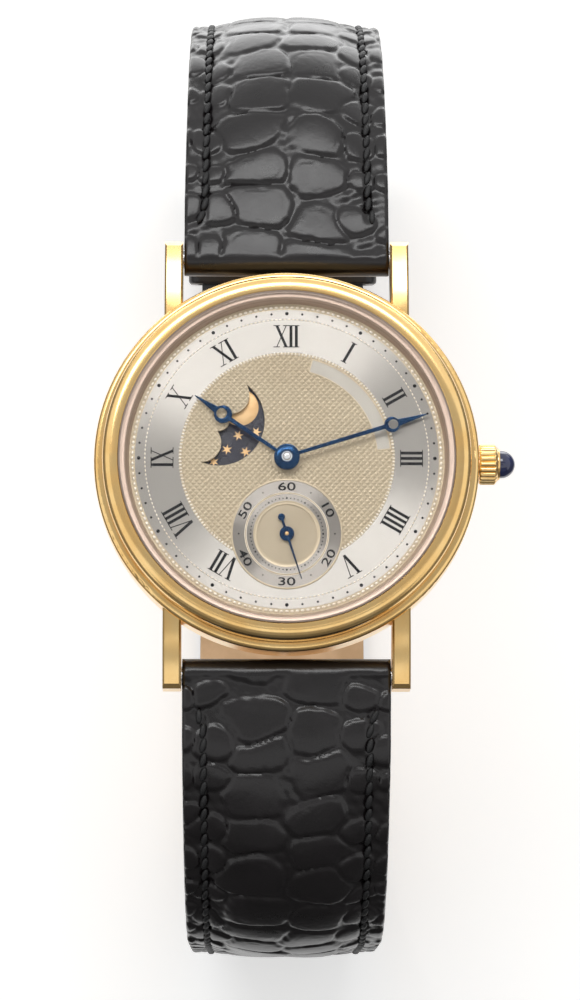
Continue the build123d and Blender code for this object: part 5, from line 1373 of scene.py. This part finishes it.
def faceMatrix(half, distance):
    # Local X along the strap, Z out of its face.
    out, height, heading = strapStation(half, distance)
    side = half["side"]
    along = Vector((0, side * math.cos(heading), -math.sin(heading)))
    normal = Vector((0, side * math.sin(heading), math.cos(heading)))
    across = normal.cross(along)
    turn = Matrix((along, across, normal)).transposed().to_4x4()
    return Matrix.Translation((0, side * out, height)) @ turn


def facePrism(half, distance, outline, reach=3.0):
    return placed(prism(outline, -reach, reach), faceMatrix(half, distance))


def strapHoles(half):
    plan = holePlan
    outline = circlePoints(plan["radius"], count=28)
    spots = [half["length"] - plan["first"] - plan["pitch"] * k for k in range(plan["count"])]
    return [facePrism(half, spot, outline) for spot in spots]


def tongueOpening(half):
    # The buckle's tongue comes through the leather where it goes round the bar.
    before, past, wide = tongueSlot["before"], tongueSlot["past"], tongueSlot["half"]
    outline = [(-before, -wide), (past, -wide), (past, wide), (-before, wide)]
    return [facePrism(half, half["length"], outline)]


liningPlan = dict(step=0.8, inset=0.02, gap=0.01, bend=0.25, tipStops=(0.4, 0.15), columns=24)


def makeLining(name, half, node):
    # Thin hide under the leather, from the root to the buckle's block or the tip, with rounded edges.
    plan, root = liningPlan, strapPlan["root"]
    loops = []
    last = half["length"] - half["endBlock"]
    count = round((last - root) / plan["step"])
    stations = [root + (last - root) * k / count for k in range(count + 1)]
    if not half["endLoop"]:
        stations += [half["length"] - stop for stop in plan["tipStops"]]
        stations = sorted(stations)[:-1]
    for s in stations:
        low, wide = -strapThick(s) / 2, strapHalfWidth(half, s) - plan["inset"]
        high = low + strapPlan["lining"] - plan["gap"]
        bend = min(plan["bend"], wide * 0.4)
        corner = bend * 0.3
        loop = [(wide, high), (-wide, high), (-wide, low + bend), (-wide + corner, low + corner)]
        loop += [(across, low) for across in np.linspace(bend - wide, wide - bend, plan["columns"])]
        loop += [(wide - corner, low + corner), (wide, low + bend)]
        loops.append(np.array([strapPoint(half, s, across, outward) for across, outward in loop]))
    piece = meshPiece(name, *shellFromRows(loops), paints["lining"], 50)
    if not half["endLoop"]:
        cutter = meshPiece("holeCutter", *joined(strapHoles(half)), paints["lining"])
        piece = combine(piece, cutter, sharpAngle=50)
    dress(piece, frame["nodes"][node]["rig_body"], [node])


stitchPlan = dict(
    pitch=1.25, size=(0.54, 0.44, 1.3), slant=0.24, sunk=0.06, pathStep=0.4,
    hook=0.35, hookLength=0.7, blockGap=1.5, tipGap=1.6,
)


def makeStitches(name, half):
    # Two rows along the edges, which turn a little outwards at the case and meet at the lower half's tip.
    plan, start, inset = stitchPlan, strapPlan["stitchStart"], strapPlan["stitchInset"]
    curve = bpy.data.curves.new(name + "Path", "CURVE")
    curve.dimensions = "3D"
    last = half["length"] - (half["endBlock"] + plan["blockGap"] if half["endLoop"] else plan["tipGap"])
    for side in (-1, 1):
        points = []
        for s in np.arange(start, last, plan["pathStep"]):
            across = strapHalfWidth(half, s) - inset
            if across < 0.5:
                break
            outward = strapThick(s) / 2 - strapCrown(s) - plan["sunk"]
            hook = plan["hook"] * math.exp(-((s - start) / plan["hookLength"]) ** 2)
            points.append(strapPoint(half, s, side * (across + hook), outward))
        spline = curve.splines.new("POLY")
        spline.points.add(len(points) - 1)
        for point, place in zip(spline.points, points):
            point.co = (*[c * mm for c in place], 1)
    values = {
        "Pitch": plan["pitch"] * mm, "Stitch Size": [part * mm for part in plan["size"]],
        "Slant": plan["slant"], "Finish": paints["thread"],
    }
    piece = grown(name, repeats["stitches"], values, curve)
    dress(piece, "upper_half" if half["side"] > 0 else "lower_half")


def roundedBox(halfWide, low, high, corner, count=8):
    outline = []
    right, top, bottom = halfWide - corner, high - corner, low + corner
    for cx, cy, start in ((right, top, 0), (-right, top, 90), (-right, bottom, 180), (right, bottom, 270)):
        for k in range(count + 1):
            a = math.radians(start + 90 * k / count)
            outline.append((cx + corner * math.cos(a), cy + corner * math.sin(a)))
    return outline


keeperPlan = dict(
    fixedAt=69.2, freeAt=59.0, half=2.3, clear=0.3, over=2.5, wall=1, corner=0.35, outerCorner=1.1,
    edge=0.3,
)


def makeKeeper(name, place, node):
    # A band round the buckle's half of the strap, with room over it for the other half's end.
    plan, half = keeperPlan, upperStrap
    wide, thick, wall = strapHalfWidth(half, place) + plan["clear"], strapThick(place), plan["wall"]
    low, high = -thick / 2 - plan["clear"], thick / 2 + plan["over"]
    outside = roundedBox(wide + wall, low - wall, high + wall, plan["outerCorner"])
    inside = roundedBox(wide, low, high, plan["corner"])
    band = plateMesh([outside, inside], -plan["half"], plan["half"], plan["edge"])
    out, height, heading = strapStation(half, place)
    normal = Vector((0, math.sin(heading), math.cos(heading)))
    along = Vector((0, math.cos(heading), -math.sin(heading)))
    turn = Matrix((normal.cross(along), normal, along)).transposed().to_4x4()
    matrix = Matrix.Translation((0, out, height)) @ turn
    piece = meshPiece(name, *placed(band, matrix), paints["hide"], 45)
    dress(piece, frame["nodes"][node]["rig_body"], [node])


makeLeather("strapUpperLeather", upperStrap, ["strap_upper", "strap_upper_filler"])
makeLeather("strapLowerLeather", lowerStrap, ["strap_lower", "strap_lower_filler"])
print("leather made")
makeLining("strapUpperLining", upperStrap, "strap_upper_lining")
makeLining("strapLowerLining", lowerStrap, "strap_lower_lining")
makeStitches("strapUpperStitches", upperStrap)
makeStitches("strapLowerStitches", lowerStrap)
makeKeeper("keeperFixedLoop", keeperPlan["fixedAt"], "keeper_fixed")
makeKeeper("keeperFreeLoop", keeperPlan["freeAt"], "keeper_free")
print("strap made")

# Stage: a pale floor, one soft lamp, cards that only reflections see, and the camera
stagePlan = dict(floorSize=3.0, floorDrop=0.1, floorTone=(250, 250, 249), floorLift=0.36, worldFill=0.56)
viewPlan = dict(
    down=10.6, right=-0.5, distance=300.0, aimRight=0.27, aimDown=3.54, fieldOfView=16.19, sensor=24.0,
)
softBoxes = [
    # name, place and aim in mm, width and height in mm, watts
    ("twelveBox", (-50, 250, 455), (0, 0, 0), (440, 130), 1.0),
]
reflectedCards = [
    # name, place and aim in mm, width and height in mm, brightness
    ("overheadCard", (0, 90, 620), (0, 0, 0), (760, 240), 0.45),
    ("sixCard", (0, -430, 40), (0, 0, 0), (1200, 240), 0.15),
    ("sixHighCard", (0, -400, 290), (0, 0, 0), (1000, 300), 0.3),
    ("sixFloorCard", (0, -300, -49), (0, -300, 100), (1000, 460), 0.1),
    ("sixFlag", (0, -95, 485), (0, 0, 0), (360, 66), 0.45),
    ("leftCard", (-520, 0, 20), (0, 0, 0), (900, 180), 0.3),
    ("rightCard", (520, 0, 20), (0, 0, 0), (900, 180), 0.3),
    ("leftFloorCard", (-300, -40, -48), (-300, -40, 100), (440, 640), 0.2),
    ("rightFloorCard", (300, -40, -48), (300, -40, 100), (440, 640), 0.2),
    ("twelveFloorCard", (0, 300, -49), (0, 300, 100), (900, 440), 3.4),
]


def aimed(place, target):
    away = Vector(place) - Vector(target)
    turn = away.to_track_quat("Z", "Y").to_matrix().to_4x4()
    return Matrix.Translation(Vector(place) * mm) @ turn


def seenRays(tree):
    # Rays that show the background itself, straight or in metal and glass.
    rays = step(tree, "ShaderNodeLightPath").outputs
    mirrored = calc(tree, "MAXIMUM", rays["Is Glossy Ray"], rays["Is Transmission Ray"])
    return calc(tree, "MAXIMUM", rays["Is Camera Ray"], mirrored)


def makeFloor():
    half = stagePlan["floorSize"] / 2
    level = solidBox[0][2] - stagePlan["floorDrop"] * mm
    data = bpy.data.meshes.new("floor")
    corners = [(-half, -half, level), (half, -half, level), (half, half, level), (-half, half, level)]
    data.from_pydata(corners, [], [(0, 1, 2, 3)])
    paint = bpy.data.materials.new("paleFloor")
    paint.use_nodes = True
    shader = paint.node_tree.nodes["Principled BSDF"]
    shader.inputs["Base Color"].default_value = tone(*stagePlan["floorTone"])
    shader.inputs["Roughness"].default_value = 0.9
    shader.inputs["Specular IOR Level"].default_value = 0.1
    shader.inputs["Emission Color"].default_value = (1, 1, 1, 1)
    lift = spread(paint.node_tree, seenRays(paint.node_tree), 0.0, 1.0, 0.0, stagePlan["floorLift"])
    paint.node_tree.links.new(lift, shader.inputs["Emission Strength"])
    data.materials.append(paint)
    linked("floor", data)


def makeSoftBox(name, place, target, size, watts):
    lamp = bpy.data.lights.new(name, "AREA")
    lamp.shape = "RECTANGLE"
    lamp.size, lamp.size_y = size[0] * mm, size[1] * mm
    lamp.energy = watts
    linked(name, lamp).matrix_world = aimed(place, target)


def makeCard(name, place, target, size, brightness):
    grey = bpy.data.materials.new(name)
    grey.use_nodes = True
    shader = grey.node_tree.nodes["Principled BSDF"]
    shader.inputs["Base Color"].default_value = (0, 0, 0, 1)
    shader.inputs["Specular IOR Level"].default_value = 0
    shader.inputs["Emission Color"].default_value = (1, 1, 1, 1)
    shader.inputs["Emission Strength"].default_value = brightness
    card = bpy.data.meshes.new(name)
    w, h = size[0] / 2 * mm, size[1] / 2 * mm
    card.from_pydata([(-w, -h, 0), (w, -h, 0), (w, h, 0), (-w, h, 0)], [], [(0, 1, 2, 3)])
    card.materials.append(grey)
    panel = linked(name, card)
    panel.matrix_world = aimed(place, target)
    panel.visible_camera = False
    panel.visible_diffuse = False
    panel.visible_shadow = False
    panel.visible_transmission = False


def makeWorld():
    world = bpy.data.worlds.new("studio")
    bpy.context.scene.world = world
    world.use_nodes = True
    tree = world.node_tree
    strength = spread(tree, seenRays(tree), 0.0, 1.0, stagePlan["worldFill"], 1.0)
    tree.nodes["Background"].inputs["Color"].default_value = (1, 1, 1, 1)
    tree.links.new(strength, tree.nodes["Background"].inputs["Strength"])


def makeCamera():
    plan = viewPlan
    dialCentre = Vector((0, 0, levels["dialTop"]))
    away = Vector((math.sin(math.radians(plan["right"])), -math.sin(math.radians(plan["down"])), 0))
    away.z = math.sqrt(1 - away.length_squared)
    place = dialCentre + away * plan["distance"]
    across = (-away).cross(Vector((0, 1, 0))).normalized()
    up = across.cross(-away)
    target = dialCentre + across * plan["aimRight"] - up * plan["aimDown"]
    back = (place - target).normalized()
    across = (-back).cross(Vector((0, 1, 0))).normalized()
    up = back.cross(across)
    lens = bpy.data.cameras.new("photoCamera")
    lens.sensor_fit = "AUTO"
    lens.sensor_width = plan["sensor"]
    lens.lens = plan["sensor"] / 2 / math.tan(math.radians(plan["fieldOfView"] / 2))
    lens.clip_start, lens.clip_end = 0.01, 20.0
    camera = linked("photoCamera", lens)
    turn = Matrix((across, up, back)).transposed().to_4x4()
    camera.matrix_world = Matrix.Translation(place * mm) @ turn
    bpy.context.scene.camera = camera


makeFloor()
for softBox in softBoxes:
    makeSoftBox(*softBox)
for reflectedCard in reflectedCards:
    makeCard(*reflectedCard)
makeWorld()
makeCamera()
print("stage ready")

bpy.context.scene.view_settings.view_transform = "Standard"
